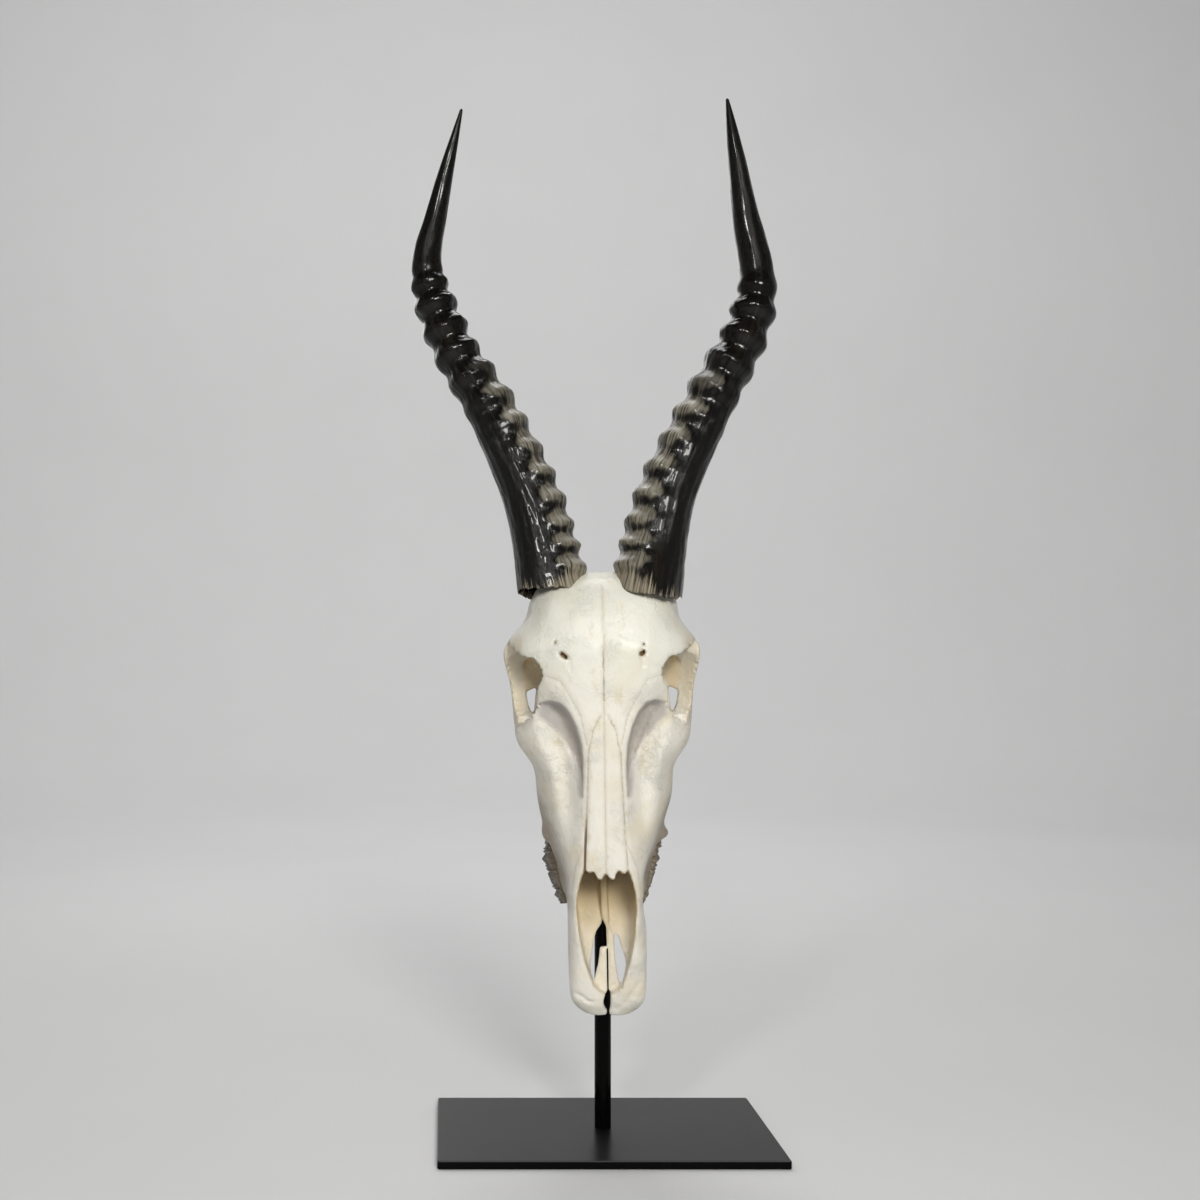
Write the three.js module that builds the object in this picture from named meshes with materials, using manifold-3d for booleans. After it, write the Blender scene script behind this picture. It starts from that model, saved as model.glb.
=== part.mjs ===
// A horned antelope skull on a steel stand: plate, rod, skull bone, two horn sheaths and twelve cheek teeth.
// Millimetres, +Z up. The face looks along -Y, the nose hangs down, and the palate runs up along the rod.
// The origin is the centre of the plate's underside. Left and right are the animal's own: its left is +X.
import * as THREE from "three";
import { mergeVertices } from "three/addons/utils/BufferGeometryUtils.js";
import Module from "manifold-3d";

const wasm = await Module();
wasm.setup();

// Stand: a flat plate with a round rod standing at its centre
const PLATE_WIDTH = 200;
const PLATE_DEPTH = 130;
const PLATE_THICKNESS = 5;
const PLATE_CORNER = 1.5;
const PLATE_BEVEL = 0.6;
const ROD_RADIUS = 5;
const ROD_TOP = 316;
const ROD_SIDES = 20;
const ROD_CHAMFER = 1;

// How the skull sits on the rod: turned a little towards one side, and leaning a little
const HEAD_PIVOT = new THREE.Vector3(0, 0, 305);
const HEAD_TURN = THREE.MathUtils.degToRad(-5.9);
const HEAD_LEAN = THREE.MathUtils.degToRad(-0.8);

// Gap left between pieces that sit in or on each other
const CLEARANCE = 0.4;
const HORN_CLEARANCE = 0.6;

// The skull's outer form as level cross-sections, from the nose up to the crown.
// A row holds the height, then one half's outline as [x, y] points, from the face round to the palate:
// face midline, bridge edge, groove, cheek, widest point, tooth ridge, palate edge, palate midline.
const SKULL_SECTIONS = [
  [78, [0, -19], [3, -19.5], [6, -19.5], [9, -18], [10, -15.5], [7, -12], [4, -11.5], [0, -11.5]],
  [85, [0, -23], [8, -25], [14, -24], [18, -21], [19.5, -17], [15, -10.5], [8, -10], [0, -10]],
  [95, [0, -25], [9, -28], [17, -27], [21.5, -23], [22.4, -18], [18, -10], [9, -10], [0, -10]],
  [117, [0, -30], [9, -34], [17, -34], [21.7, -28], [23, -20], [19, -10], [9, -10.5], [0, -11]],
  [140, [0, -40], [9, -44], [17, -43], [21.7, -35], [23, -24], [21, -8], [12, -11], [0, -12]],
  [155, [0, -50], [10, -51], [17, -48], [21.8, -38], [24.5, -22], [28.5, -4], [15, -12], [0, -13]],
  [165, [0, -56.5], [10.5, -55.5], [17, -50], [22.2, -39], [26, -22], [32, -3.5], [17, -12.5], [0, -13.5]],
  [185, [0, -62], [10.5, -60.5], [17.5, -53], [25, -43], [34.5, -20], [34.5, -3], [19, -13], [0, -14]],
  [205, [0, -67.5], [10.3, -65.8], [17, -55.5], [28, -49], [38.9, -24], [35, -3], [19, -14], [0, -15]],
  [225, [0, -73.5], [10.5, -71.5], [18.5, -57], [31, -56], [40.8, -33], [34, -5], [18, -16], [0, -17]],
  [240, [0, -78], [12, -75.5], [23.5, -60], [36.5, -60.5], [47.7, -40], [38, -14], [18, -20], [0, -22]],
  [255, [0, -82.5], [16, -79.5], [30, -67.5], [41, -62], [51, -40], [44, -22], [22, -22], [0, -23]],
  [272, [0, -86.5], [22, -83.5], [34, -77], [46, -60], [54, -39], [47, -20], [22, -13], [0, -13]],
  [290, [0, -89], [28, -86], [44, -76.5], [54, -58], [57.2, -42], [49, -18], [21, -3], [0, -2]],
  [299, [0, -88.5], [29, -84.5], [43, -75.5], [51.5, -61], [53.8, -45], [44, -14], [20, 4], [0, 7]],
  [311, [0, -85], [27, -80.5], [37.5, -72], [43, -60], [44.1, -45], [34, -7], [17, 9], [0, 12]],
  [322, [0, -79], [24, -76], [34, -69], [40, -57], [40, -42], [28, -6], [14, 6], [0, 9]],
  [331, [0, -70], [20, -68], [29, -62.5], [34, -53], [33, -40], [21, -13], [10, -6], [0, -4]],
  [337, [0, -57], [9, -56], [15, -53], [18, -47], [17, -40], [11, -30], [6, -28], [0, -27]],
];
const CROWN_START = 300;
const SKULL_RINGS = 28;
const SKULL_RING_POINTS = 28;

// Nose: the open front of the nasal cavity, and the cavity behind the nasal bones.
// A row holds the height, the half width, and the depth of the front and the back.
const NOSE_OPENING = [
  [94, 3, -60, -16],
  [104, 9.5, -60, -16],
  [120, 14.5, -64, -16],
  [140, 17, -70, -16],
  [155, 15.8, -76, -17],
  [164, 12.8, -80, -18],
];
const NOSE_CAVITY = [
  [112, 13, -27, -16],
  [140, 18, -37, -16.5],
  [165, 19.5, -47, -17.5],
  [190, 20, -53, -19],
  [215, 17, -58, -21],
  [232, 6, -48, -30],
];
const NOSE_POINTS = 12;
const VOMER_THICKNESS = 2.6;

// Horns: each sheath's centre line as [offset from the midline, depth, height], its half width along that
// line as [share of the length, half width], and its growth rings. The two horns differ a little, as grown.
const HORN_LINES = {
  left: [
    [25, -53.5, 325],
    [36.7, -47, 378],
    [63, -39, 434],
    [86, -33, 478],
    [91.7, -31, 504],
    [87.5, -30.5, 543],
    [75.4, -35, 611],
  ],
  right: [
    [27.5, -53.5, 325],
    [39.2, -47, 378],
    [63.5, -39, 434],
    [88, -32.5, 478],
    [100.8, -29.5, 520],
    [96, -29, 554],
    [80, -35, 613],
  ],
};
const HORN_HALF_WIDTHS = [
  [0, 20],
  [0.17, 16.4],
  [0.33, 14.2],
  [0.49, 11.6],
  [0.66, 9.4],
  [0.71, 8],
  [0.79, 6],
  [0.89, 3.9],
  [1, 0.8],
];
const HORN_DEPTH_RATIO = 1.12;
const HORN_SIDES = 14;
const RING_COUNT = 14;
const FIRST_RING = 14;
const RING_SPACING = 10.6;
const RING_SPREAD = 7.5;
const RING_HEIGHT = 1.5;
const STEPS_PER_RING = 2;
const TIP_STEPS = 8;
const CORE_LENGTH = 78;
const CORE_HALF_WIDTH = 14;
const CORE_TIP_HALF_WIDTH = 8.5;
const CORE_STEPS = 6;

// Teeth from the nose up: name, length along the row, width across it, crown height over the ridge
const TOOTH_GAP = 0.7;
const TOOTH_ROW_START = 143;
const TOOTH_ROOT = -9;
const RIDGE_DEPTH = -3.5;
const TEETH = [
  ["premolar_2", 8.5, 7.5, 7],
  ["premolar_3", 10, 9, 8],
  ["premolar_4", 10.5, 10.5, 9],
  ["molar_1", 14.5, 11.5, 10],
  ["molar_2", 16.5, 12, 11],
  ["molar_3", 17, 11, 11],
];
// Middle of the tooth row, seen from behind: the offset from the skull's midline at some heights
const TOOTH_ROW = [
  [143, 22.3],
  [160, 27.4],
  [178, 30],
  [200, 31.2],
  [225, 30.4],
];

// Closed geometry through a list of rings with the same number of points, with both ends capped
function loft(rings) {
  const count = rings[0].length;
  const positions = rings.flat().flatMap((p) => p.toArray());
  const indices = [];
  for (let r = 0; r + 1 < rings.length; r++) {
    for (let i = 0; i < count; i++) {
      const a = r * count + i;
      const b = r * count + ((i + 1) % count);
      indices.push(a, b, b + count, a, b + count, a + count);
    }
  }
  [rings[0], rings.at(-1)].forEach((ring, end) => {
    const middle = ring.reduce((sum, p) => sum.add(p), new THREE.Vector3()).divideScalar(count);
    const apex = positions.push(...middle.toArray()) / 3 - 1;
    const start = end * (rings.length - 1) * count;
    for (let i = 0; i < count; i++) {
      const edge = [start + i, start + ((i + 1) % count)];
      indices.push(apex, ...(end ? edge : edge.reverse()));
    }
  });
  const geometry = new THREE.BufferGeometry();
  geometry.setAttribute("position", new THREE.Float32BufferAttribute(positions, 3));
  return geometry.setIndex(indices);
}

// The same geometry on the other side of the skull
function mirrored(geometry) {
  const flipped = geometry.clone().scale(-1, 1, 1);
  const order = flipped.index.array;
  for (let i = 0; i < order.length; i += 3) {
    [order[i], order[i + 1]] = [order[i + 1], order[i]];
  }
  return flipped;
}

const bothSides = (geometry) => [geometry, mirrored(geometry)];

function solidOf(geometry) {
  const bare = geometry.clone();
  bare.deleteAttribute("normal");
  bare.deleteAttribute("uv");
  const merged = mergeVertices(bare, 1e-4);
  const triVerts = new Uint32Array(merged.index.array);
  const vertProperties = merged.attributes.position.array;
  return new wasm.Manifold(new wasm.Mesh({ numProp: 3, vertProperties, triVerts }));
}

function geometryOf(solid) {
  const mesh = solid.getMesh();
  const geometry = new THREE.BufferGeometry();
  geometry.setAttribute("position", new THREE.BufferAttribute(mesh.vertProperties, 3));
  geometry.setIndex(new THREE.BufferAttribute(mesh.triVerts, 1));
  const flat = geometry.toNonIndexed();
  flat.computeVertexNormals();
  return flat;
}

const addAll = (solid, geometries) => geometries.reduce((sum, g) => sum.add(solidOf(g)), solid);
const cutAll = (solid, geometries) => geometries.reduce((rest, g) => rest.subtract(solidOf(g)), solid);

// An ellipsoid at a place, turned about the vertical
function ellipsoid([x, y, z], [rx, ry, rz], turn = 0, sides = 12) {
  const ball = new THREE.SphereGeometry(1, sides, Math.round(sides * 0.6));
  return ball.scale(rx, ry, rz).rotateZ(turn).translate(x, y, z);
}

// A cone with cut ends between two points
function taper(from, to, startRadius, endRadius, sides = 10) {
  const start = new THREE.Vector3(...from);
  const along = new THREE.Vector3(...to).sub(start);
  const cone = new THREE.CylinderGeometry(endRadius, startRadius, along.length(), sides);
  const up = new THREE.Vector3(0, 1, 0);
  const turn = new THREE.Quaternion().setFromUnitVectors(up, along.clone().normalize());
  return cone.applyQuaternion(turn).translate(...start.addScaledVector(along, 0.5).toArray());
}

// Straight-line reading of a list of [place, value] pairs
function readAt(pairs, place) {
  const next = Math.max(1, pairs.findIndex(([p]) => p >= place));
  const [[p0, v0], [p1, v1]] = [pairs[next - 1], pairs[next]];
  return THREE.MathUtils.mapLinear(place, p0, p1, v0, v1);
}

// Skull

// The outer form, grown outwards by a clearance where another piece is to be cut back from it
function skullForm(clearance = 0) {
  const strings = SKULL_SECTIONS[0].slice(1).map((_, i) => {
    const points = SKULL_SECTIONS.map(([z, ...outline]) => new THREE.Vector3(...outline[i], z));
    return new THREE.CatmullRomCurve3(points, false, "catmullrom");
  });
  const rings = Array.from({ length: SKULL_RINGS + 1 }, (_, k) => {
    const half = strings.map((string) => string.getPoint(k / SKULL_RINGS));
    const otherHalf = half.slice(1, -1).reverse().map((p) => new THREE.Vector3(-p.x, p.y, p.z));
    const outline = new THREE.CatmullRomCurve3([...half, ...otherHalf], true, "catmullrom");
    const middle = new THREE.Vector3(0, (half[0].y + half.at(-1).y) / 2, Math.min(half[0].z, CROWN_START));
    return outline.getPoints(SKULL_RING_POINTS).slice(0, -1).map((p) => {
      const outwards = p.clone().sub(middle).setLength(clearance);
      return p.add(outwards);
    });
  });
  return loft(rings);
}

// An oval column from rows of height, half width, front and back
function ovalColumn(rows) {
  return loft(rows.map(([z, halfWidth, front, back]) => {
    const oval = new THREE.EllipseCurve(0, (front + back) / 2, halfWidth, (back - front) / 2);
    return oval.getPoints(NOSE_POINTS).slice(0, -1).map((p) => new THREE.Vector3(p.x, p.y, z));
  }));
}

// An oval hole straight through the palate
function palateHole(x, z, halfWidth, halfHeight) {
  return ellipsoid([x, -14, z], [halfWidth, 14, halfHeight], 0, 12);
}

const hornCurve = (side) => new THREE.CatmullRomCurve3(HORN_LINES[side].map((p) => new THREE.Vector3(...p)));

// Horns and teeth are drawn on the animal's left, and mirrored for its right
const onSide = (side, geometry) => (side === "left" ? geometry : mirrored(geometry));

// A ring of points round the horn's centre line, where halfWidth is a function of the angle.
// Angle 0 points to the midline, and a quarter turn on points to the face's side.
// A share below zero lies under the foot, straight on along the line.
function hornRing(line, share, halfWidth) {
  const along = line.getTangentAt(Math.max(0, share));
  const under = Math.min(0, share) * line.getLength();
  const centre = line.getPointAt(Math.max(0, share)).addScaledVector(along, under);
  const front = new THREE.Vector3(0, -1, 0).addScaledVector(along, along.y).normalize();
  const inner = new THREE.Vector3().crossVectors(front, along);
  return Array.from({ length: HORN_SIDES }, (_, i) => {
    const angle = (2 * Math.PI * i) / HORN_SIDES;
    const reach = halfWidth(angle);
    return centre
      .clone()
      .addScaledVector(inner, Math.cos(angle) * reach)
      .addScaledVector(front, Math.sin(angle) * reach * HORN_DEPTH_RATIO);
  });
}

// The bony core inside the horn sheath's foot
function hornCore(line, clearance = 0) {
  const foot = (-8 * clearance) / line.getLength();
  const reach = (CORE_LENGTH + clearance) / line.getLength();
  const rings = Array.from({ length: CORE_STEPS + 1 }, (_, k) => {
    const share = THREE.MathUtils.lerp(foot, reach, k / CORE_STEPS);
    const width = THREE.MathUtils.lerp(CORE_HALF_WIDTH, CORE_TIP_HALF_WIDTH, k / CORE_STEPS) + clearance;
    return hornRing(line, share, () => width);
  });
  return loft(rings);
}

// Outline of a cheek tooth, across the row in x and along it in y: folds towards the cheek, lobes inside
function toothOutline(length, width, grow) {
  const half = width / 2 + grow;
  const end = length / 2 + grow;
  const lobes = length > 12 ? [-end / 2, end / 2] : [0];
  const folds = lobes.flatMap((y) => [[half - 1.3, y], [half, y + end / lobes.length]]);
  const inner = lobes.toReversed().flatMap((y) => {
    const reach = (0.55 * end) / lobes.length;
    return [[-half + 0.8, y + reach], [-half, y], [-half + 0.8, y - reach]];
  });
  const points = [[half, -end], ...folds, ...inner, [-half + 2.6, -end]];
  return new THREE.Shape(points.map((p) => new THREE.Vector2(...p)));
}

// A tooth as a prism from its root to its crown, with the crown's edge worn round, pointing along +Y
function toothPrism(length, width, crown, grow) {
  const depth = RIDGE_DEPTH + crown - TOOTH_ROOT;
  const outline = toothOutline(length, width, grow);
  const worn = { depth: depth - 2, bevelThickness: 1, bevelSize: 0.8, bevelOffset: -0.8, bevelSegments: 1 };
  const socket = { depth: depth + 30, bevelEnabled: false };
  const prism = new THREE.ExtrudeGeometry(outline, grow ? socket : worn);
  return prism.translate(0, 0, grow ? -grow : 1).rotateX(-Math.PI / 2);
}

// Where each tooth of one row sits: its root's place and its turn along the row
function toothPlaces() {
  let low = TOOTH_ROW_START;
  return TEETH.map(([name, length, width, crown]) => {
    const z = low + length / 2;
    const slope = readAt(TOOTH_ROW, z + 2) - readAt(TOOTH_ROW, z - 2);
    low += length + TOOTH_GAP;
    const place = new THREE.Vector3(readAt(TOOTH_ROW, z), TOOTH_ROOT, z);
    return { name, length, width, crown, place, turn: Math.atan2(slope, 4) };
  });
}

function toothSockets() {
  return toothPlaces().flatMap(({ length, width, crown, place, turn }) => {
    const socket = toothPrism(length, width, crown, CLEARANCE).rotateY(turn);
    return bothSides(mergeVertices(socket.translate(...place.toArray())));
  });
}

// The rod as a turned profile, grown by a clearance where the skull is bored for it
function rodGeometry(clearance = 0) {
  const radius = ROD_RADIUS + clearance;
  const top = ROD_TOP + clearance;
  const profile = [
    [0, PLATE_THICKNESS],
    [radius, PLATE_THICKNESS],
    [radius, top - ROD_CHAMFER],
    [radius - ROD_CHAMFER, top],
    [0, top],
  ].map((p) => new THREE.Vector2(...p));
  return new THREE.LatheGeometry(profile, ROD_SIDES).rotateX(Math.PI / 2);
}

const bone = new THREE.MeshStandardMaterial({ color: "#e6dfcd", roughness: 0.45 });
const keratin = new THREE.MeshStandardMaterial({ color: "#1a1714", roughness: 0.2 });
const enamel = new THREE.MeshStandardMaterial({ color: "#9d917e", roughness: 0.5 });
const coatedSteel = new THREE.MeshStandardMaterial({ color: "#26282a", roughness: 0.45, metalness: 0.3 });

// The head hangs in a group that turns and leans about the rod's seat
const head = new THREE.Group();
head.position.copy(HEAD_PIVOT);
head.rotation.set(0, HEAD_LEAN, HEAD_TURN, "ZYX");
const headParts = new THREE.Group();
headParts.position.copy(HEAD_PIVOT).negate();
head.add(headParts);
head.updateMatrixWorld(true);

function skullGeometry() {
  const orbitTurn = THREE.MathUtils.degToRad(-33);
  const boreToHead = headParts.matrixWorld.clone().invert();
  const hollows = [
    ...bothSides(ellipsoid([47, -57.5, 274], [27, 16.5, 20], orbitTurn)),
    ...bothSides(ellipsoid([39.5, -28, 281], [7.5, 36, 27])),
    ovalColumn(NOSE_OPENING),
    ovalColumn(NOSE_CAVITY),
    palateHole(6.8, 109, 3.8, 15),
    palateHole(-6.2, 112, 4.2, 18),
    palateHole(0, 86.5, 2.3, 6),
    ellipsoid([0, -12, 238], [9.5, 14, 12]),
    ellipsoid([0, 19, 315], [8, 11, 8]),
    ...toothSockets(),
  ];
  const additions = [
    ...bothSides(ellipsoid([12, 10, 311], [6.5, 9, 10], 0, 12)),
    ...bothSides(ellipsoid([20, -3, 284], [7, 9, 12], 0, 12)),
    ...bothSides(taper([31, -6, 303], [27, 18, 287], 7, 2.2, 8)),
    ...bothSides(ellipsoid([12, -17, 243], [2.4, 9, 15], 0, 10)),
    ...["left", "right"].map((side) => onSide(side, hornCore(hornCurve(side)))),
    new THREE.BoxGeometry(VOMER_THICKNESS, 22, 90).translate(0, -25, 171),
  ];
  const form = cutAll(solidOf(skullForm()), hollows);
  const bore = rodGeometry(CLEARANCE).applyMatrix4(boreToHead);
  return geometryOf(cutAll(addAll(form, additions), [bore]));
}

// Horn sheaths

// Places of the growth rings' crests along the centre line, closest at the foot and at the top
function ringCrests() {
  const crests = [FIRST_RING];
  for (let i = 0; i + 1 < RING_COUNT; i++) {
    crests.push(crests[i] + RING_SPACING + RING_SPREAD * Math.sin((Math.PI * i) / (RING_COUNT - 1)));
  }
  return crests;
}

// Steps along the sheath: a crest and a valley for each ring, then a smooth tip
function hornSteps(hornLength) {
  const crests = ringCrests();
  const ringed = crests.flatMap((crest, i) => {
    const spacing = (crests[i + 1] ?? crest + RING_SPACING) - crest;
    const height = RING_HEIGHT * Math.min(1, (RING_COUNT - i) / 4);
    return Array.from({ length: STEPS_PER_RING }, (_, k) => {
      const turn = k / STEPS_PER_RING;
      return { at: crest + turn * spacing, lift: height * Math.cos(2 * Math.PI * turn) };
    });
  });
  const tipStart = ringed.at(-1).at + RING_SPACING / STEPS_PER_RING;
  const tip = Array.from({ length: TIP_STEPS + 1 }, (_, k) => {
    return { at: THREE.MathUtils.lerp(tipStart, hornLength, k / TIP_STEPS), lift: 0 };
  });
  return [{ at: 0, lift: 0 }, ...ringed, ...tip];
}

// Rings stand highest on the front and the inner side, and fade out at the back
function ringShare(angle) {
  const frontInner = THREE.MathUtils.degToRad(35);
  return 0.3 + 0.7 * (0.5 + 0.5 * Math.cos(angle - frontInner));
}

function sheathGeometry(side) {
  const line = hornCurve(side);
  const length = line.getLength();
  const rings = hornSteps(length).map(({ at, lift }) => {
    const share = Math.min(1, at / length);
    const width = readAt(HORN_HALF_WIDTHS, share);
    return hornRing(line, share, (angle) => width + lift * ringShare(angle));
  });
  const bones = [hornCore(line, HORN_CLEARANCE), skullForm(HORN_CLEARANCE)];
  const hollows = bones.map((geometry) => onSide(side, geometry));
  return geometryOf(cutAll(solidOf(onSide(side, loft(rings))), hollows));
}

// Stand

function plateGeometry() {
  const half = [PLATE_WIDTH / 2, PLATE_DEPTH / 2].map((side) => side - PLATE_CORNER);
  const outline = new THREE.Shape();
  [[1, 1], [-1, 1], [-1, -1], [1, -1]].forEach(([sx, sy], quarter) => {
    const turn = (quarter * Math.PI) / 2;
    outline.absarc(sx * half[0], sy * half[1], PLATE_CORNER, turn, turn + Math.PI / 2);
  });
  const slab = new THREE.ExtrudeGeometry(outline, {
    depth: PLATE_THICKNESS - 2 * PLATE_BEVEL,
    curveSegments: 2,
    bevelThickness: PLATE_BEVEL,
    bevelSize: PLATE_BEVEL,
    bevelOffset: -PLATE_BEVEL,
    bevelSegments: 1,
  });
  return slab.translate(0, 0, PLATE_BEVEL);
}

function named(name, geometry, material) {
  const mesh = new THREE.Mesh(geometry, material);
  mesh.name = name;
  return mesh;
}

const part = new THREE.Group();
part.add(named("base_plate", plateGeometry(), coatedSteel));
part.add(named("rod", rodGeometry(), coatedSteel));
part.add(head);

headParts.add(named("skull", skullGeometry(), bone));

for (const [side, sign] of [["left", 1], ["right", -1]]) {
  headParts.add(named(`horn_sheath_${side}`, sheathGeometry(side), keratin));
  const row = new THREE.Group();
  row.scale.x = sign;
  headParts.add(row);
  for (const { name, length, width, crown, place, turn } of toothPlaces()) {
    const tooth = named(`${name}_${side}`, toothPrism(length, width, crown, 0), enamel);
    tooth.position.copy(place);
    tooth.rotation.y = turn;
    row.add(tooth);
  }
}

export default part;
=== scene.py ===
# %% [markdown]
# # A horned skull on a steel stand
#
# The real object is the bleached skull of an antelope, without its lower jaw. A black steel rod
# on a flat plate holds it upright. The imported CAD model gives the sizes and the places. Its
# plate and rod are plain solids and stay as they are. The bone, the horns and the teeth are
# modelled again in finer detail, each in the place of its CAD node.

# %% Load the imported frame
import math

import bmesh
import bpy
import numpy as np
from mathutils import Matrix, Vector


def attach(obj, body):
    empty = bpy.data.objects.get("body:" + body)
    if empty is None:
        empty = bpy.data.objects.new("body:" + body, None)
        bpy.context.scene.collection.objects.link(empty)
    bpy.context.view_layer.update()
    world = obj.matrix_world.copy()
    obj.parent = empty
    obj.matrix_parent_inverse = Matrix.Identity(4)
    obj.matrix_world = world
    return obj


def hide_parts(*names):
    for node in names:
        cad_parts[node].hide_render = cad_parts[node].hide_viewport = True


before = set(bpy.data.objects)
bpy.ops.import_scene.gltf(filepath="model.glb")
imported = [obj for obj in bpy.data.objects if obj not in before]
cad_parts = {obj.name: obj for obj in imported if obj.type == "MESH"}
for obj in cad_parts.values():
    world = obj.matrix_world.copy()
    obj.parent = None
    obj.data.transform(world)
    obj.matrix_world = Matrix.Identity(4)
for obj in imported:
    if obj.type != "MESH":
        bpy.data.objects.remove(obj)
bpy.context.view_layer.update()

# %% [markdown]
# ## Camera
#
# The camera stands where the picture was taken from: in front, a little to the animal's right,
# at the height of the face. It could be turned towards the head, but then the rod would lean in
# the picture. So it looks straight ahead and the lens is shifted, as on a view camera.

# %% Camera
PICTURE_SIDE = 1200
FOCAL_LENGTH_PX = 1533.5
AHEAD_PX = (443, 675)
EYE = (-0.0967, -0.9282, 0.2786)

lens = bpy.data.cameras.new("camera")
lens.sensor_width = 36
lens.lens = 36 * FOCAL_LENGTH_PX / PICTURE_SIDE
lens.shift_x = 0.5 - AHEAD_PX[0] / PICTURE_SIDE
lens.shift_y = AHEAD_PX[1] / PICTURE_SIDE - 0.5
camera = bpy.data.objects.new("camera", lens)
camera.location = EYE
camera.rotation_euler = (math.pi / 2, 0, 0)
bpy.context.scene.collection.objects.link(camera)
bpy.context.scene.camera = camera
print("camera at", EYE)

# %% [markdown]
# ## Lamps
#
# Bone looks soft only in soft light, so every lamp is an area lamp. The key lamp is a soft box
# with a narrow spread: it lights the head and spares the floor below it. The small window lamp
# gives the horns their glints. The top, backdrop and front wall lamps keep the floor pale on all
# sides, and the rear lamp shows the back of the skull. A picture of a studio as the world would
# be quicker, but lamps can be placed one by one. The Standard view keeps the tones of the bone,
# which the softer default view would flatten.


# %% Lamps
def lamp(name, place, target, size, power, tint, spread=180):
    data = bpy.data.lights.new(name, "AREA")
    data.shape = "RECTANGLE"
    data.size, data.size_y = size
    data.energy = power
    data.color = tint
    data.spread = math.radians(spread)
    thing = bpy.data.objects.new(name, data)
    thing.location = place
    toward = Vector(target) - Vector(place)
    thing.rotation_euler = toward.to_track_quat("-Z", "Y").to_euler()
    bpy.context.scene.collection.objects.link(thing)
    return thing


HEAD_MIDDLE = (0, -0.04, 0.3)
lamps = [
    lamp("key lamp", (0.2, -1.6, 0.8), HEAD_MIDDLE, (0.4, 0.4), 5.4, (1, 0.995, 0.955), 100),
    lamp("window lamp", (-0.5, -1.4, 1.1), HEAD_MIDDLE, (0.14, 0.2), 5, (1, 0.99, 0.97)),
    lamp("fill lamp", (-1.4, -0.8, 0.7), HEAD_MIDDLE, (0.8, 1.0), 0.4, (0.93, 0.96, 1)),
    lamp("top lamp", (0, 1.0, 2.3), (0, 0.5, 0), (1.4, 1.0), 16, (1, 1, 1)),
    lamp("backdrop lamp", (0, 1.4, 2.4), (0, 3.4, 0.6), (1.8, 0.4), 30, (1, 1, 1)),
    lamp("rear lamp", (-0.6, 1.5, 1.2), HEAD_MIDDLE, (1.2, 0.9), 1.3, (1, 1, 1), 100),
    lamp("front wall lamp", (0, -1.7, 2.6), (0, -3.4, 0.8), (1.8, 0.4), 6, (1, 1, 1)),
]
world = bpy.data.worlds.new("studio")
bpy.context.scene.world = world
world.use_nodes = True
world.node_tree.nodes["Background"].inputs["Color"].default_value = (0.9, 0.91, 0.92, 1)
world.node_tree.nodes["Background"].inputs["Strength"].default_value = 0.04
bpy.context.scene.view_settings.view_transform = "Standard"
print("lamps:", ", ".join(thing.name for thing in lamps))

# %% [markdown]
# ## Floor
#
# A flat floor would end in a line behind the object. In a studio, paper bends up into the wall
# instead. Here the outline of such a bend is spun all the way round, so that the floor is plain
# from every side. A plane with one bent edge would do for the front view only.

# %% Floor
SWEEP_FLAT, SWEEP_BEND, SWEEP_TOP = 2.2, 1.2, 3.4
BEND_STEPS = 12
profile = [(0, 0), (1.2, 0)]
for step in range(BEND_STEPS + 1):
    turn = math.radians(90 * step / BEND_STEPS)
    profile.append((SWEEP_FLAT + SWEEP_BEND * math.sin(turn), SWEEP_BEND * (1 - math.cos(turn))))
profile.append((SWEEP_FLAT + SWEEP_BEND, SWEEP_TOP))
floor_mesh = bpy.data.meshes.new("floor")
shape = bmesh.new()
ring = [shape.verts.new((r, 0, z)) for r, z in profile]
edges = [shape.edges.new(pair) for pair in zip(ring, ring[1:])]
bmesh.ops.spin(
    shape, geom=ring + edges, axis=(0, 0, 1), cent=(0, 0, 0), steps=96, angle=math.tau,
    use_merge=True,
)
bmesh.ops.remove_doubles(shape, verts=shape.verts, dist=1e-5)
bmesh.ops.recalc_face_normals(shape, faces=shape.faces)
shape.to_mesh(floor_mesh)
shape.free()
floor_mesh.shade_smooth()
floor = bpy.data.objects.new("floor", floor_mesh)
bpy.context.scene.collection.objects.link(floor)
print("floor:", len(floor_mesh.polygons), "faces")

# %% [markdown]
# ## Sums on sockets
#
# A finish is a net of nodes. It could be wired by hand in the editor, but a long net is easier to
# read as sums. `Wire` holds one output socket: `+`, `-`, `*` and `/` on it add Math nodes, and
# `Wire.node` adds any other node, its settings first and then the values or wires of its
# sockets. The same class serves the finishes and the geometry trees.


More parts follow.
